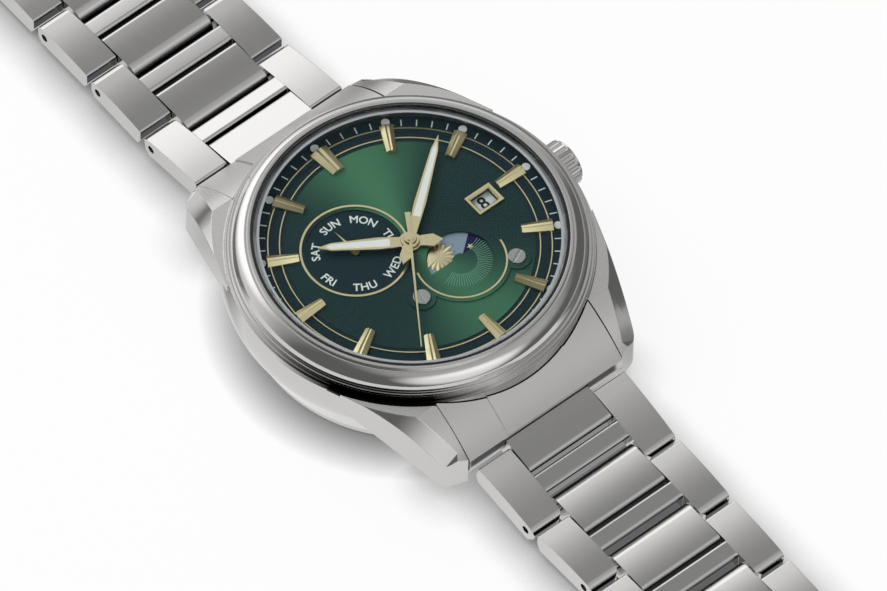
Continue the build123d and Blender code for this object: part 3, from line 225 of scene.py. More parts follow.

# %% [markdown]
# ## Two finishes on one solid
# The tops of the lugs and links are brushed, while their flanks and bevels are polished.
# A maker masks one face and works the other, so the edge between them is sharp. Here the
# direction of the surface is the mask: a face that looks mostly up is brushed. The end faces
# inside the joints are painted darker than the rest, as painted shade: they lie in the joint
# and mirror the next link. The wheel also rounds every edge by a tenth of a millimetre, and
# that thin round catches the light.
# The belt presses harder where a link begins and ends, so its top is bowed by hundredths
# of a millimetre. That is too little to model, but it makes the light run from white to
# grey along each link, so the shading leans by a few degrees from one end to the other.

# %% Steel brushed on top, polished on its sides, with painted shade in its joints
edge_round = 0.1 * mm
# Painted shade: the darker colour of the end faces inside the joints.
painted_joint_shade = "#4A4B4E"
# Heights of the case's top edge under the bezel, whose colour is painted nearly black as shade
# and reflection.
neck_heights_mm = (10.1, 10.6)
flank_cloud_mm, flank_haze = 3.0, (0.07, 0.12)
link_pitch, centre_half_mm, centre_taper = 9.194, 6.03, 0.01537
# On each side of the case, for the centre piece and then for the outer pieces: where each
# pitch starts, and where the piece begins and ends, in millimetres from the run's own Y.
link_spans = {1: ((-1.1, -1.1, 7.5), (1.7, 1.7, 10.6)),
              -1: ((-7.6, -4.75, 1.1), (-10.6, -10.6, -1.7))}
# For each run of links: that Y, its side, and the angles at the two ends of the centre
# piece and of the outer pieces. The first link on each side has a bow of its own.
link_bows = {"noon": (30.9, 1, (-12.2, 3.0), (-2.5, -2.5)),
             "six": (-30.83, -1, (-4.0, 10.0), (0.5, 2.5)),
             "first noon": (21.3, 1, (1.0, 5.0), (-3.0, -3.0)),
             "first six": (-21.3, -1, (5.5, 11.5), (12.0, 9.5))}


def leaning(tree, place, normal, start_mm, side, centre_leans, outer_leans):
    """The normal turned about X by an angle in degrees that changes evenly from a link's
    end at six o'clock to its end at noon, with its own two angles for the centre piece.
    How far along its link a place lies is what is left of Y after whole pitches."""
    parts = add(tree, "ShaderNodeSeparateXYZ", {"Vector": place}).node.outputs
    across = add(tree, "ShaderNodeMath", {0: parts["X"]}, operation="ABSOLUTE")
    far = add(tree, "ShaderNodeMath", {0: parts["Y"]}, operation="ABSOLUTE")
    widened = add(tree, "ShaderNodeMath", {0: far, 1: centre_taper, 2: across},
                  operation="MULTIPLY_ADD")
    outer = add(tree, "ShaderNodeMath", {0: widened, 1: centre_half_mm * mm},
                operation="GREATER_THAN")
    leans = []
    for (wrap, low, high), angles in zip(link_spans[side], (centre_leans, outer_leans)):
        along = add(tree, "ShaderNodeMath", {0: parts["Y"], 1: (start_mm + wrap) * mm},
                    operation="SUBTRACT")
        turns = add(tree, "ShaderNodeMath", {0: along, 1: link_pitch * mm},
                    operation="DIVIDE")
        share = add(tree, "ShaderNodeMath", {0: turns}, operation="FRACT")
        slopes = [math.tan(math.radians(angle)) for angle in angles]
        leans.append(add(tree, "ShaderNodeMapRange",
                         {"Value": share, "From Min": (low - wrap) / link_pitch,
                          "From Max": (high - wrap) / link_pitch, "To Min": slopes[0],
                          "To Max": slopes[1]}))
    lean = add(tree, "ShaderNodeMix", {0: outer, 2: leans[0], 3: leans[1]})
    turned_by = add(tree, "ShaderNodeCombineXYZ", {"Y": lean})
    total = add(tree, "ShaderNodeVectorMath", {0: normal, 1: turned_by}, operation="ADD")
    return add(tree, "ShaderNodeVectorMath", {0: total}, operation="NORMALIZE")


def masked_steel(name, up_limit, side_limit, end_limit, haze, scratch_share, bow=None):
    """Brushed where the surface looks up more, and sideways less, than the two limits, and
    painted darker as shade where it looks along the bracelet more than the third one. Under
    the bezel its colour is painted nearly black as shade. A link also has a bow."""
    material, tree, shader, place = start_material(name, Metallic=1.0, Anisotropic=0.5)
    facing = add(tree, "ShaderNodeTexCoord", out="Normal")
    parts = add(tree, "ShaderNodeSeparateXYZ", {"Vector": facing}).node.outputs
    up = add(tree, "ShaderNodeMath", {0: parts["Z"], 1: up_limit}, operation="GREATER_THAN")
    side = add(tree, "ShaderNodeMath", {0: parts["X"]}, operation="ABSOLUTE")
    narrow = add(tree, "ShaderNodeMath", {0: side, 1: side_limit}, operation="LESS_THAN")
    mask = add(tree, "ShaderNodeMath", {0: up, 1: narrow}, operation="MULTIPLY")
    along = add(tree, "ShaderNodeMath", {0: parts["Y"]}, operation="ABSOLUTE")
    # Painted shade: end faces inside the joints are coloured darker.
    joint_shade = add(tree, "ShaderNodeMath", {0: along, 1: end_limit}, operation="GREATER_THAN")
    # Painted shade and reflection: the case's top edge under the bezel is coloured nearly
    # black.
    neck = neck_shade(tree, place, neck_heights_mm)
    mask = add(tree, "ShaderNodeMath", {0: mask, 1: neck}, operation="SUBTRACT",
               use_clamp=True)
    tint = add(tree, "ShaderNodeMix",
               {0: joint_shade, 6: linear(steel_tint), 7: linear(painted_joint_shade)}, out=2,
               data_type="RGBA")
    add(tree, "ShaderNodeMix", {0: neck, 6: tint, 7: linear(painted_neck_shade)}, out=2,
        to=shader["Base Color"], data_type="RGBA")
    scratches = grains(tree, place, scratch_mm)
    rough = add(tree, "ShaderNodeMapRange",
                {"Value": scratches, "To Min": haze[0], "To Max": haze[1]})
    clouds = grains(tree, place, (flank_cloud_mm, flank_cloud_mm, flank_cloud_mm))
    smooth = add(tree, "ShaderNodeMapRange",
                 {"Value": clouds, "To Min": flank_haze[0], "To Max": flank_haze[1]})
    add(tree, "ShaderNodeMix", {"Factor": mask, "A": smooth, "B": rough},
        to=shader["Roughness"])
    height = add(tree, "ShaderNodeMath", {0: scratches, 1: mask}, operation="MULTIPLY")
    normal = add(tree, "ShaderNodeBevel", {"Radius": edge_round}, samples=4)
    if bow:
        bowed = leaning(tree, place, normal, *bow)
        normal = add(tree, "ShaderNodeMix", {0: mask, 4: normal, 5: bowed}, out=1,
                     data_type="VECTOR")
    add(tree, "ShaderNodeBump", {"Height": height, "Distance": scratch_depth * scratch_share,
                                 "Normal": normal}, to=shader["Normal"])
    add(tree, "ShaderNodeCombineXYZ", {"Y": 1.0}, to=shader["Tangent"])
    return material


case_steel = masked_steel("brushed and polished case steel", up_limit=0.3, side_limit=0.35,
                          end_limit=1.1, haze=(0.2, 0.32), scratch_share=0.6)
link_steels = {end: masked_steel(f"{end} link steel", up_limit=0.5, side_limit=0.6,
                                 end_limit=0.93, haze=(0.14, 0.24), scratch_share=0.5,
                                 bow=bow)
               for end, bow in link_bows.items()}
print(case_steel.name, [steel.name for steel in link_steels.values()])

# %% [markdown]
# ## Lume, print, rubber, ruby and glass
# Lume and dial print are matt resins full of pigment, so their colour comes in fine grains.
# Gaskets are moulded nitrile rubber. The crystal is sapphire, coated inside, so it hardly
# shows from the front: a clear shader that lets light straight through and adds a weak
# gloss stands for it, which also keeps the dial lit.

# %% Resin, rubber, ruby and sapphire
def resin(name, tints, rough=0.55, grain_mm=0.08, depth_mm=0.003):
    """Matt resin: grains mix its two tints and lift its skin a little."""
    material, tree, shader, place = start_material(name, Roughness=rough)
    pigment = grains(tree, place, (grain_mm, grain_mm, grain_mm))
    add(tree, "ShaderNodeMix", {0: pigment, 6: linear(tints[0]), 7: linear(tints[1])}, out=2,
        to=shader["Base Color"], data_type="RGBA")
    add(tree, "ShaderNodeBump", {"Height": pigment, "Distance": depth_mm * mm},
        to=shader["Normal"])
    return material


def sapphire(name, gloss):
    """Coated sapphire: mostly see-through, with a thin gloss that grows at a glance."""
    material, tree = start_material(
        name, Base_Color=linear("#FFFFFF"), Roughness=0.02, Metallic=1.0)[:2]
    clear = add(tree, "ShaderNodeBsdfTransparent", {"Color": linear("#F8FBFA")})
    edge = add(tree, "ShaderNodeFresnel", {"IOR": 1.25})
    weak = add(tree, "ShaderNodeMath", {0: edge, 1: gloss}, operation="MULTIPLY")
    output = tree.nodes["Material Output"].inputs["Surface"]
    add(tree, "ShaderNodeMixShader",
        {0: weak, 1: clear, 2: tree.nodes["Principled BSDF"].outputs[0]}, to=output)
    return material


print_grain_mm, print_depth_mm = 0.05, 0.001
lume = resin("white lume resin", ("#F5EFEE", "#FBF6F5"))
# The crystal rim's grey is painted lighter, as painted light against the bezel's shade.
white_print, black_print, lightened_rim_grey = [
    resin(name, tints, rough, print_grain_mm, print_depth_mm)
    for name, tints, rough in (("white dial print", ("#E4E6E4", "#F2F3F1"), 0.45),
                               ("black dial print", ("#0C0D10", "#16171A"), 0.45),
                               ("grey crystal rim", ("#B9B4BB", "#C7C3CA"), 0.35))]
rubber = resin("black nitrile rubber", ("#101010", "#1C1C1C"), rough=0.6)
ruby = start_material("ruby jewel", Base_Color=linear("#A3123A"), Roughness=0.05, IOR=1.77)[0]
crystal_glass = sapphire("coated sapphire", gloss=0.25)
print(lume.name, white_print.name, black_print.name, rubber.name, ruby.name)

# %% [markdown]
# ## The sunray dial
# The dial is brass, brushed from its centre outwards and covered with green lacquer. Each
# scratch sends light to the eye only from some lamps, so two bright green fans stand on a dial
# that is blue-black elsewhere. Here the fans are painted highlights in the lacquer's colour,
# with a painted sheen of fine streaks; both follow the angle round the centre, so both are
# worked out from it. The floor of the day dial and the minute track are sunk, and the painted
# fans end there, so they stay dark all round.

# %% Sunray lacquer
# Painted highlights: the angle and strength of each bright fan.
painted_fans = ((78.0, 0.9), (-83.0, 0.75))  # angle in degrees and strength of each fan
fan_highlight_tint, shade_tint = "#4E8062", "#1D3138"
brushed_radius_mm, sunk_height_mm = 13.65, 11.15
streak_scale, streak_share, streak_depth_mm = 90.0, 0.1, 0.002


def sunray(name, centre_mm, fans, bright, dark, sharp=8.0, haze=0.3):
    """Painted highlight, as colour by the angle round a centre: a fan is the cosine of the
    angle to it, raised to a power, and fine streaks are noise that changes only with the
    angle. Both end at the brushed radius and where the surface is sunk."""
    material, tree, shader, place = start_material(
        name, Roughness=haze, Specular_IOR_Level=0.12)
    moved = add(tree, "ShaderNodeVectorMath",
                {0: place, 1: [part * mm for part in (*centre_mm, 0)]}, operation="SUBTRACT")
    flat = add(tree, "ShaderNodeVectorMath", {0: moved, 1: (1, 1, 0)}, operation="MULTIPLY")
    ray = add(tree, "ShaderNodeVectorMath", {0: flat}, operation="NORMALIZE")
    total = 0.0
    for angle, strength in fans:
        way = (math.cos(math.radians(angle)), math.sin(math.radians(angle)), 0)
        toward = add(tree, "ShaderNodeVectorMath", {0: ray, 1: way}, out="Value",
                     operation="DOT_PRODUCT")
        kept = add(tree, "ShaderNodeMath", {0: toward, 1: 0.0}, operation="MAXIMUM")
        fan = add(tree, "ShaderNodeMath", {0: kept, 1: sharp}, operation="POWER")
        total = add(tree, "ShaderNodeMath", {0: fan, 1: strength, 2: total},
                    operation="MULTIPLY_ADD")
    streak = add(tree, "ShaderNodeTexNoise",
                 {"Vector": ray, "Scale": streak_scale, "Detail": 2.0})
    add(tree, "ShaderNodeBump", {"Height": streak, "Distance": streak_depth_mm * mm},
        to=shader["Normal"])
    # Painted highlight: the fans and the streaks lighten the lacquer's colour.
    shaded = add(tree, "ShaderNodeMath", {0: streak, 1: streak_share, 2: total},
                 operation="MULTIPLY_ADD")
    radius = add(tree, "ShaderNodeVectorMath", {0: flat}, out="Value", operation="LENGTH")
    inside = add(tree, "ShaderNodeMath", {0: radius, 1: brushed_radius_mm * mm},
                 operation="LESS_THAN")
    height = add(tree, "ShaderNodeSeparateXYZ", {"Vector": place}).node.outputs["Z"]
    raised = add(tree, "ShaderNodeMath", {0: height, 1: sunk_height_mm * mm},
                 operation="GREATER_THAN")
    inside = add(tree, "ShaderNodeMath", {0: inside, 1: raised}, operation="MULTIPLY")
    shaded = add(tree, "ShaderNodeMath", {0: shaded, 1: inside}, operation="MULTIPLY")
    add(tree, "ShaderNodeMix", {0: shaded, 6: linear(dark), 7: linear(bright)}, out=2,
        to=shader["Base Color"], data_type="RGBA")
    return material


dial_lacquer = sunray("green sunray lacquer", (0, 0), painted_fans, fan_highlight_tint, shade_tint)
print(dial_lacquer.name)

# %% [markdown]
# ## Sky disc and movement finishes
# The disc behind the moon plate is printed half as day and half as night, so its colour
# depends on which side of one line through its own centre a place lies. The movement's
# bridges carry straight stripes, cut by a rotating wooden disc: each stripe is a shallow
# hollow 1.2 mm wide that tilts the light a little, which one wave along X gives.

# %% Day and night print, striped nickel
moon_centre = np.array((2.83, -4.89))
dusk_angle = 38.0
sky_grain_mm = 0.15
stripe_pitch, stripe_depth_mm, stripe_haze = 1.2, 0.01, (0.2, 0.38)


def day_and_night(name, day, night, line_angle):
    """Two colours on the two sides of a line through the moon display's centre, and grain."""
    material, tree, shader, place = start_material(name, Roughness=0.4,
                                                   Specular_IOR_Level=0.15)
    slope = math.radians(line_angle)
    moved = add(tree, "ShaderNodeVectorMath",
                {0: place, 1: (*(moon_centre * mm).tolist(), 0)}, operation="SUBTRACT")
    height = add(tree, "ShaderNodeVectorMath",
                 {0: moved, 1: (-math.sin(slope), math.cos(slope), 0)}, out="Value",
                 operation="DOT_PRODUCT")
    light = add(tree, "ShaderNodeMath", {0: height, 1: 0.0}, operation="GREATER_THAN")
    grain = grains(tree, place, (sky_grain_mm, sky_grain_mm, sky_grain_mm))
    shade = add(tree, "ShaderNodeMix", {0: grain, 6: linear(night[0]), 7: linear(night[1])},
                out=2, data_type="RGBA")
    bright = add(tree, "ShaderNodeMix", {0: grain, 6: linear(day[0]), 7: linear(day[1])},
                 out=2, data_type="RGBA")
    add(tree, "ShaderNodeMix", {0: light, 6: shade, 7: bright}, out=2,
        to=shader["Base Color"], data_type="RGBA")
    return material


def striped(name, tint, pitch_mm):
    """Nickel plate with straight stripes: a wave along X gives haze and a shallow relief."""
    material, tree, shader, place = start_material(name, Base_Color=linear(tint), Metallic=1.0)
    parts = add(tree, "ShaderNodeSeparateXYZ", {"Vector": place}).node.outputs
    turns = add(tree, "ShaderNodeMath", {0: parts["X"], 1: 2 * math.pi / (pitch_mm * mm)},
                operation="MULTIPLY")
    wave = add(tree, "ShaderNodeMath", {0: turns}, operation="SINE")
    add(tree, "ShaderNodeMapRange",
        {"Value": wave, "From Min": -1.0, "To Min": stripe_haze[0], "To Max": stripe_haze[1]},
        to=shader["Roughness"])
    add(tree, "ShaderNodeBump", {"Height": wave, "Distance": stripe_depth_mm * mm},
        to=shader["Normal"])
    return material


sky_print = day_and_night("day and night print", ("#8393A8", "#98A4B4"),
                          ("#1A1740", "#231F4E"), dusk_angle)
striped_nickel = striped("striped nickel plate", "#C4C2BE", stripe_pitch)
print(sky_print.name, striped_nickel.name)

# %% [markdown]
# ## Giving the solids their finishes
# The record names one slot for each solid, and each slot gets its finish here. The links
# carry more than their slot says, because they are masked as the lugs are.

# %% Assign the materials
slot_finish = {
    "brushed_steel": brushed, "case_steel": case_steel, "polished_steel": polished,
    "clear_glass": crystal_glass, "black_rubber": rubber, "chapter_steel": turned,
    "green_dial": dial_lacquer, "champagne_gold": champagne, "pale_lume": lume,
    "blue_sky": sky_print, "white_print": white_print, "gilt_brass": gilt,
    "movement_nickel": striped_nickel, "ruby": ruby, "blued_steel": blued,
}


def finish_node(name, material):
    """Give one solid one material, in its only slot."""
    mesh = nodes[name].data
    mesh.materials.clear()
    mesh.materials.append(material)


for row in frame["record"]["subparts"]:
    finish_node(row["node"], slot_finish[row["material_slot"]])
finish_node("bezel", bezel_steel)
for name in nodes:
    if name.startswith("link_"):
        _, end, number = name.split("_")
        finish_node(name, link_steels[f"first {end}" if number == "1" else end])
print("slots", len(slot_finish), "nodes", len(nodes))

# %% [markdown]
# ## Print and thin trim as meshes
# Ticks, rings, numerals and engraved rays are all thin raised shapes. Each could be painted
# in a material, but then the exported model would lose it, so each is a mesh of its own.
# Two makers cover them: one sweeps a closed profile round a centre, and one makes many
# small bars at once, all as whole arrays of points.

# %% Mesh makers
def new_piece(name, points_mm, faces, material, body, slot, smooth=False):
    """Put a mesh given in millimetres into the scene, finish it and let it ride on a body."""
    mesh = bpy.data.meshes.new(name)
    mesh.from_pydata((np.asarray(points_mm, float) * mm).tolist(), [],
                     np.asarray(faces).tolist())
    mesh.materials.append(material)
    mesh.polygons.foreach_set("use_smooth", np.full(len(mesh.polygons), smooth))
    mesh.update()
    piece = bpy.data.objects.new(name, mesh)
    bpy.context.scene.collection.objects.link(piece)
    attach(piece, body)


def grid_faces(rows, columns, around_rows=True, around_columns=True):
    """Four-sided faces of a grid of points, which may close on itself either way."""
    row = np.arange(rows if around_rows else rows - 1)[:, None]
    column = np.arange(columns if around_columns else columns - 1)[None, :]
    next_row, next_column = (row + 1) % rows, (column + 1) % columns
    corners = (row * columns + column, next_row * columns + column,
               next_row * columns + next_column, row * columns + next_column)
    return np.stack([corner.ravel() for corner in corners], axis=1)


def flat_ring(centre, radius, width, foot, height, steps=240):
    """Points and faces of a thin ring: a rectangle of the given width and height, carried
    once round the centre at the given radius."""
    turn = np.linspace(0, 2 * np.pi, steps, endpoint=False)[:, None]
    radii = radius + width / 2 * np.array((-1, 1, 1, -1))
    heights = foot + height * np.array((0, 0, 1, 1))
    points = np.stack((centre[0] + radii * np.cos(turn), centre[1] + radii * np.sin(turn),
                       np.broadcast_to(heights, (steps, 4))), axis=2)
    return points.reshape(-1, 3), grid_faces(steps, 4)


def radial_bars(centre, angles, inner, outer, width, foot, height, outer_foot=None):
    """Points and faces of one bar for each angle in degrees: a box of the given width from
    the inner to the outer radius, whose foot may rise outwards."""
    outer_foot = foot if outer_foot is None else outer_foot
    turn = np.radians(np.asarray(angles, float))[:, None]
    along = np.array((inner, outer, outer, inner) * 2)
    across = width / 2 * np.array((-1, -1, 1, 1) * 2)
    lift = np.array((foot, outer_foot, outer_foot, foot) * 2) + height * np.repeat((0, 1), 4)
    x = centre[0] + along * np.cos(turn) - across * np.sin(turn)
    y = centre[1] + along * np.sin(turn) + across * np.cos(turn)
    points = np.stack((x, y, np.broadcast_to(lift, x.shape)), axis=2).reshape(-1, 3)
    box = np.array(((0, 3, 2, 1), (4, 5, 6, 7), (0, 1, 5, 4), (1, 2, 6, 5), (2, 3, 7, 6),
                    (3, 0, 4, 7)))
    faces = (box[None] + 8 * np.arange(len(turn))[:, None, None]).reshape(-1, 4)
    return points, faces


print("ring faces", len(flat_ring((0, 0), 10, 1, 0, 1)[1]))

# %% [markdown]
# ## Minute track
# A fine white line is printed for each minute that has no marker. The two thin champagne
# rings are applied wires that edge the sunk channel under the markers.

# %% Minute lines and rings
dial_top = 11.2
print_height = 0.015
minutes = np.arange(60)
minute_angles = 90 - 6 * minutes[minutes % 5 != 0]
tick_inner, tick_outer, tick_width = 15.15, 15.95, 0.13
ring_radii, ring_width, ring_height = (13.65, 14.88), 0.12, 0.06

new_piece("minute_lines", *radial_bars((0, 0), minute_angles, tick_inner, tick_outer,
                                       tick_width, dial_top, print_height),
          white_print, "watch_head", "white_print")
for label, radius in zip(("inner", "outer"), ring_radii):
    new_piece("track_ring_" + label, *flat_ring((0, 0), radius, ring_width, dial_top,
                                                ring_height),
              champagne, "watch_head", "champagne_gold")
print("minute lines", len(minute_angles))

# %% [markdown]
# ## Rim of the crystal
# A thin grey ring runs under the edge of the crystal, between the bezel and the dial, and
# hides the dial's own edge from the side. Its grey is painted lighter, as painted light, to
# make up for the shade of the bezel over it.

# %% Frosted rim
rim_middle, rim_width, rim_foot, rim_height = 16.1, 0.62, 12.74, 0.02
# Painted light: the rim's grey is lighter to make up for the shade over it.
new_piece("crystal_rim", *flat_ring((0, 0), rim_middle, rim_width, rim_foot, rim_height),
          lightened_rim_grey, "watch_head", "chapter_steel")
print("rim from", rim_middle - rim_width / 2, "mm")

# %% [markdown]
# ## Lines of the sloping ring
# The ring that leans from the dial up to the crystal carries a fine line for each minute.
# Its slope is known from the solid, so each line is a bar whose foot follows that slope.

# %% Ring lines
slope_foot, slope_top = (16.385, 11.3), (16.115, 12.7)  # radius and height of each end
line_width, line_height = 0.07, 0.02
new_piece("chapter_lines", *radial_bars((0, 0), 90 - 6 * minutes, slope_foot[0],
                                        slope_top[0], line_width, slope_foot[1],
                                        line_height, slope_top[1]),
          polished, "watch_head", "polished_steel")
print("ring lines", len(minutes))

# %% [markdown]
# ## Day names and date numerals
# The names of the days stand round their small dial, and the numerals 1 to 31 on the date
# ring. Each starts as a text of Blender's own font. It is made a mesh, and then its points
# are bent: a point's distance along the word becomes an angle round the centre.

# %% Bent and turned text
stroke_gain = 0.016  # how much bolder the strokes get, as a share of the text size
half_capital = 0.36  # half a capital's height, as a share of the text size


def word_mesh(text, size_mm):
    """Points in millimetres, centred on the word, and triangles of a flat filled text."""
    curve = bpy.data.curves.new("word", "FONT")
    curve.body = text
    curve.size = size_mm
    curve.offset = stroke_gain * size_mm
    curve.resolution_u = 3
    curve.align_x = "CENTER"
    holder = bpy.data.objects.new("word", curve)
    mesh = bpy.data.meshes.new_from_object(holder)
    mesh.calc_loop_triangles()
    points = np.zeros(len(mesh.vertices) * 3)
    mesh.vertices.foreach_get("co", points)
    corners = np.zeros(len(mesh.loop_triangles) * 3, int)
    mesh.loop_triangles.foreach_get("vertices", corners)
    bpy.data.objects.remove(holder)
    bpy.data.curves.remove(curve)
    bpy.data.meshes.remove(mesh)
    return points.reshape(-1, 3)[:, :2], corners.reshape(-1, 3)


def thick(flat, triangles, foot, height):
    """A flat shape made solid: its top, its underside turned over, and walls along each
    edge that only one triangle uses."""
    count = len(flat)
    points = np.vstack((np.column_stack((flat, np.full(count, foot))),
                        np.column_stack((flat, np.full(count, foot + height)))))
    a, b, c = triangles.T
    first, second = flat[b] - flat[a], flat[c] - flat[a]
    turned_over = first[:, 0] * second[:, 1] < first[:, 1] * second[:, 0]
    triangles = np.where(turned_over[:, None], triangles[:, ::-1], triangles)
    edges = np.vstack((triangles[:, (0, 1)], triangles[:, (1, 2)], triangles[:, (2, 0)]))
    keys = edges[:, 0] * count + edges[:, 1]
    rim = edges[~np.isin(keys, edges[:, 1] * count + edges[:, 0])]
    walls = np.vstack((np.column_stack((rim[:, 0], rim[:, 1], rim[:, 1] + count)),
                       np.column_stack((rim[:, 0], rim[:, 1] + count, rim[:, 0] + count))))
    return points, np.vstack((triangles + count, triangles[:, ::-1], walls))


def joined(parts):
    """One mesh from several: points one after another, and faces counted on from there."""
    starts = np.cumsum([0] + [len(points) for points, _ in parts[:-1]])
    return (np.vstack([points for points, _ in parts]),
            np.vstack([faces + start for (_, faces), start in zip(parts, starts)]))


day_centre = np.array((-5.0, 2.95))
day_floor = 11.06
day_radii, day_size = {1: 4.2, -1: 4.45}, 1.28  # radius of upright and of turned names
upright_from, upright_to = -30, 150  # degrees between which a name stands upright
day_angles = {"SUN": 90.0, "MON": 38.6, "TUE": -12.9, "WED": -64.3, "THU": -115.7,
              "FRI": -167.1, "SAT": 141.4}


def bent_word(text, angle, size_mm, radii, centre, foot):
    """A word round a centre: x along the word turns by x over the radius of its middle, and
    y adds to the radius. Words in the lower half stand the other way up, so both are
    measured backwards there and every name can be read without turning the watch."""
    flat, triangles = word_mesh(text, size_mm)
    upright = 1 if upright_from < angle < upright_to else -1
    radius = radii[upright]
    turn = np.radians(angle) - upright * flat[:, 0] / radius
    reach = radius + upright * (flat[:, 1] - size_mm * half_capital)
    bent = centre + reach[:, None] * np.column_stack((np.cos(turn), np.sin(turn)))
    return thick(bent, triangles, foot, print_height)


words = [bent_word(name, angle, day_size, day_radii, day_centre, day_floor)
         for name, angle in day_angles.items()]
new_piece("day_names", *joined(words), white_print, "watch_head", "white_print")
print("day names", len(words))

# %% [markdown]
# ## Date numerals
# The numeral in the window has to stand upright, and each next one follows a thirty-first
# of a turn further round. They ride on the date ring, so the date changes as it turns.

# %% Numerals on the date ring
date_place = np.array((9.62, -0.35))
date_size, date_squeeze = 2.2, (0.95, 1.0)
date_top = 10.57
dates, shown_date = 31, 8


def turned_numeral(number):
    """A numeral set at the date window and then turned about the watch's centre."""
    flat, triangles = word_mesh(str(number), date_size)
    flat = flat * date_squeeze + date_place - (0, date_size * half_capital)
    turn = 2 * math.pi / dates * (number - shown_date)
    spin = np.array(((math.cos(turn), math.sin(turn)), (-math.sin(turn), math.cos(turn))))
    return thick(flat @ spin, triangles, date_top, print_height)


new_piece("date_numerals", *joined([turned_numeral(n) for n in range(1, dates + 1)]),
          black_print, "date_ring", "white_print")
print("numerals", dates)

# %% [markdown]
# ## Sun and stars
# Thin gilt figures are pressed from foil and set on the turning disc: a plain sun with long
# and short rays for the day, and stars for the night. The sun's outline is a radius that
# swings with the angle, and its face is a shallow dome without features.

# %% Figures on the sky disc
sky_top, sky_reach = 11.08, 3.62
foil_edge, sun_dome = 0.02, 0.05
points_per_ray = 16
star_radius, star_waist = 0.42, 0.42  # the waist is a share of the radius


def domed(outline, foot, edge, dome, rings=10):
    """A low dome over an outline of points round a middle: rings shrink to the middle, and
    the height above the edge falls with the square of the distance from it."""
    middle = outline.mean(axis=0)
    share = np.linspace(1, 0, rings + 1)[:-1]
    levels = [(share[0], foot)] + [(part, foot + edge + dome * (1 - part ** 2))
                                   for part in share]
    points = np.vstack([np.column_stack((middle + (outline - middle) * part,
                                         np.full(len(outline), level)))
                        for part, level in levels]
                       + [[[*middle, foot + edge + dome], [*middle, foot]]])
    count, top, bottom = len(outline), len(points) - 2, len(points) - 1
    walls = grid_faces(len(levels), count, around_rows=False)
    walls = np.vstack((walls[:, (0, 2, 1)], walls[:, (0, 3, 2)]))
    here = np.arange(count)
    after = (here + 1) % count
    last = (len(levels) - 1) * count
    caps = np.vstack((np.column_stack((here + last, after + last, np.full(count, top))),
                      np.column_stack((after, here, np.full(count, bottom)))))
    return points, np.vstack((walls, caps))


def sun_outline(centre, core, tips, rays, lean):
    """Radius by angle: a saw tooth from the core to a tip and back for each ray, long and
    short in turn, and kept inside the window's circle."""
    turn = np.linspace(0, 2 * np.pi, rays * points_per_ray, endpoint=False)
    place = (turn / (2 * np.pi) * rays + lean) % 1
    tooth = 1 - np.abs(place * 2 - 1)
    long_ray = (np.floor(turn / (2 * np.pi) * rays + lean) % 2) == 0
    radius = core + (np.where(long_ray, *tips) - core) * tooth
    points = centre + radius[:, None] * np.column_stack((np.cos(turn), np.sin(turn)))
    reach = np.hypot(*points.T)
    return moon_centre + points * np.minimum(1, sky_reach / reach)[:, None]


def star_outline(centre, radius):
    """Five points: the radius steps between tip and waist every tenth of a turn."""
    steps = np.arange(10)
    turn = np.radians(90 + 36 * steps)
    reach = radius * np.where(steps % 2 == 0, 1.0, star_waist)
    return moon_centre + centre + reach[:, None] * np.column_stack((np.cos(turn),
                                                                    np.sin(turn)))


sun_centre = np.array((-1.5, 1.85))
sun = domed(sun_outline(sun_centre, core=1.25, tips=(2.35, 1.9), rays=16, lean=0.2),
            sky_top, foil_edge, sun_dome)
new_piece("sun_figure", *sun, champagne, "sun_moon_disc", "champagne_gold", smooth=True)

star_spots = ((2.0, 0.85), (2.9, -0.3), (0.2, -2.6), (-0.9, -3.2), (2.2, -2.4))
stars = [domed(star_outline(np.array(spot), star_radius), sky_top, foil_edge, dome=0.0,
               rings=2) for spot in star_spots]
new_piece("night_stars", *joined(stars), champagne, "sun_moon_disc", "champagne_gold")
print("sun points", len(sun[0]), "stars", len(stars))

# %% [markdown]
# ## Rays of the moon plate
# Under the window the plate is engraved with fine rays that fade towards its centre. They are
# thin bars of a paler green than the plate's own colour.

# %% Engraved rays
plate_floor = 11.32
ray_angles = np.arange(-158, 24, 5.2)
ray_inner, ray_outer, ray_width = 1.75, 3.35, 0.05
ray_lacquer = resin("pale green lacquer", ("#6E9C84", "#86B39A"), 0.3, 0.1, 0.001)
new_piece("plate_rays", *radial_bars(moon_centre, ray_angles, ray_inner, ray_outer,
                                     ray_width, plate_floor, print_height),
          ray_lacquer, "watch_head", "green_dial")
print("rays", len(ray_angles))

# %% [markdown]
# ## Floor and background
# The watch lies on a plain white table. The camera, and what mirrors or glass see, get
# nearly the table's own white, with a little of the lit surface left in it, so the soft
# shadow stays. Polished metal mirrors the table too. In the photograph the flanks, which
# mirror it close by, are light, and the far side of the bezel, which mirrors it a little
# further off, is dark. So for mirrored rays the glow depends on the distance from the
# watch, taken as a disc and a strip: bright at its foot, dark from 12 to 45 mm, then light.
# The side that faces between six and nine has no dark part. To the eye, the table darkens
# where something lies less than 5 mm over it, which shows in the slits between the links.

# %% White table
floor_level, floor_half = -0.2, 3.0  # millimetres below the case back, and metres
table_glow = 0.88
disc_radius_mm, strip_halves_mm = 20.0, (9.0, 72.0)
shade_places_mm = (3.0, 12.0, 45.0, 150.0)
shade_levels = (0.78, 0.12, 0.5)
lit_sum_mm, lit_level = (4.0, -14.0), 0.88
cover_mm, cover_power = 5.0, 1.4

mesh = bpy.data.meshes.new("floor")
mesh.from_pydata([(x * floor_half, y * floor_half, floor_level * mm)
                  for x, y in ((-1, -1), (1, -1), (1, 1), (-1, 1))], [], [(0, 1, 2, 3)])
floor = bpy.data.objects.new("floor", mesh)
bpy.context.scene.collection.objects.link(floor)

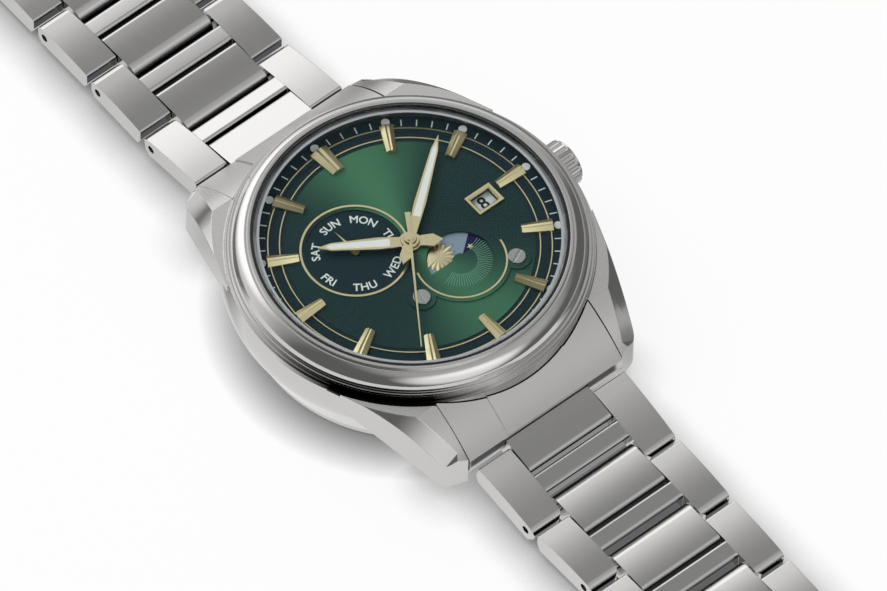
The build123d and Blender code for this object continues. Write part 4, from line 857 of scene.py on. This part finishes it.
material, tree, _, place = start_material(
    "white table", Base_Color=linear("#F4F4F4"), Roughness=0.9)
rays = add(tree, "ShaderNodeLightPath", out="Is Camera Ray").node.outputs
seen = add(tree, "ShaderNodeMath", {0: rays["Is Camera Ray"], 1: rays["Is Glossy Ray"]},
           operation="MAXIMUM")
seen = add(tree, "ShaderNodeMath", {0: seen, 1: rays["Is Transmission Ray"]},
           operation="MAXIMUM")
seen = add(tree, "ShaderNodeMath", {0: seen, 1: table_glow}, operation="MULTIPLY")
parts = add(tree, "ShaderNodeSeparateXYZ", {"Vector": place}).node.outputs
beside = -1.0
for axis, half in zip("XY", strip_halves_mm):
    across = add(tree, "ShaderNodeMath", {0: parts[axis]}, operation="ABSOLUTE")
    past = add(tree, "ShaderNodeMath", {0: across, 1: half * mm}, operation="SUBTRACT")
    beside = add(tree, "ShaderNodeMath", {0: past, 1: beside}, operation="MAXIMUM")
around = add(tree, "ShaderNodeVectorMath", {0: place}, out="Value", operation="LENGTH")
around = add(tree, "ShaderNodeMath", {0: around, 1: disc_radius_mm * mm},
             operation="SUBTRACT")
away = add(tree, "ShaderNodeMath", {0: beside, 1: around}, operation="MINIMUM")
near = add(tree, "ShaderNodeMapRange",
           {"Value": away, "From Min": shade_places_mm[0] * mm,
            "From Max": shade_places_mm[1] * mm, "To Min": shade_levels[0],
            "To Max": shade_levels[1]})
far = add(tree, "ShaderNodeMapRange",
          {"Value": away, "From Min": shade_places_mm[2] * mm,
           "From Max": shade_places_mm[3] * mm, "To Min": shade_levels[1],
           "To Max": shade_levels[2]})
mirrored = add(tree, "ShaderNodeMath", {0: near, 1: far}, operation="MAXIMUM")
side = add(tree, "ShaderNodeVectorMath", {0: place, 1: (1, 1, 0)}, out="Value",
           operation="DOT_PRODUCT")
lit = add(tree, "ShaderNodeMapRange",
          {"Value": side, "From Min": lit_sum_mm[0] * mm, "From Max": lit_sum_mm[1] * mm,
           "To Max": lit_level})
mirrored = add(tree, "ShaderNodeMath", {0: mirrored, 1: lit}, operation="MAXIMUM")
open_air = add(tree, "ShaderNodeAmbientOcclusion", {"Distance": cover_mm * mm}, out="AO",
               samples=8)
looked_at = add(tree, "ShaderNodeMath", {0: open_air, 1: cover_power}, operation="POWER")
strength = add(tree, "ShaderNodeMix",
               {0: rays["Is Camera Ray"], 2: mirrored, 3: looked_at})
glow = add(tree, "ShaderNodeEmission", {"Color": linear("#FFFFFF"), "Strength": strength})
add(tree, "ShaderNodeMixShader", {0: seen, 1: tree.nodes["Principled BSDF"].outputs[0],
                                  2: glow},
    to=tree.nodes["Material Output"].inputs["Surface"])
mesh.materials.append(material)
print("table", 2 * floor_half, "m wide")

# %% [markdown]
# ## The room
# Polished steel has no colour of its own: it shows the room. The bezel is a cone, so its
# ring mirrors the whole horizon, and the tops of the links mirror what is overhead, so the
# photograph tells where the room is bright. It is dim on the whole, light all along the
# side of twelve o'clock with a bright window halfway up, a little lighter overhead, and has
# one bright patch low behind six o'clock. Each light part is a lobe: it grows with the lean
# of a direction toward its axis.

# %% World with four light parts
room_base = 0.15
# Each lobe has its axis, the leans between which it grows, and its light.
room_lobes = (((0, 1, 0), (0.15, 0.72), 0.7),
              ((0, 0.83, 0.56), (0.8, 0.98), 0.75),
              ((0.2, -0.4, 0.894), (0.7, 1.0), 0.4),
              ((-0.12, -0.829, 0.546), (0.8, 0.96), 0.85))

world = bpy.data.worlds.new("studio")
bpy.context.scene.world = world
world.use_nodes = True
tree = world.node_tree
rays = add(tree, "ShaderNodeLightPath", out="Is Camera Ray").node.outputs
way = add(tree, "ShaderNodeTexCoord", out="Generated")
room = room_base
for axis, leans, light in room_lobes:
    lean = add(tree, "ShaderNodeVectorMath", {0: way, 1: axis}, out="Value",
               operation="DOT_PRODUCT")
    lobe = add(tree, "ShaderNodeMapRange",
               {"Value": lean, "From Min": leans[0], "From Max": leans[1], "To Min": 0.0,
                "To Max": light}, interpolation_type="SMOOTHSTEP")
    room = add(tree, "ShaderNodeMath", {0: lobe, 1: room}, operation="ADD")
level = add(tree, "ShaderNodeMix", {0: rays["Is Camera Ray"], 2: room, 3: 1.0})
tree.links.new(level, tree.nodes["Background"].inputs["Strength"])
tree.nodes["Background"].inputs["Color"].default_value = linear("#FFFFFF")
print("room lobes", len(room_lobes))

# %% [markdown]
# ## Lamps
# Two large soft boxes light what isn't metal: the dial, the print and the table. They are
# hidden from mirrors, because the room above already is what the metal shows, and from the
# camera, so that no view looks into the back of a lamp.

# %% Soft boxes
def soft_box(name, way, distance, size, radiance):
    """An even oblong lamp that faces the watch: its power is radiance times pi and area."""
    data = bpy.data.lights.new(name, "AREA")
    data.shape = "RECTANGLE"
    data.size, data.size_y = size
    data.energy = radiance * math.pi * size[0] * size[1]
    lamp = bpy.data.objects.new(name, data)
    way = Vector(way).normalized()
    lamp.location = way * distance
    lamp.rotation_mode = "QUATERNION"
    lamp.rotation_quaternion = way.to_track_quat("Z", "Y")
    lamp.visible_camera = False
    lamp.visible_glossy = False
    bpy.context.scene.collection.objects.link(lamp)


soft_box("key", (-0.35, 0.45, 0.82), distance=0.9, size=(0.7, 0.6), radiance=2.6)
soft_box("side", (-0.6, -0.5, 0.62), distance=0.9, size=(0.5, 0.5), radiance=1.2)
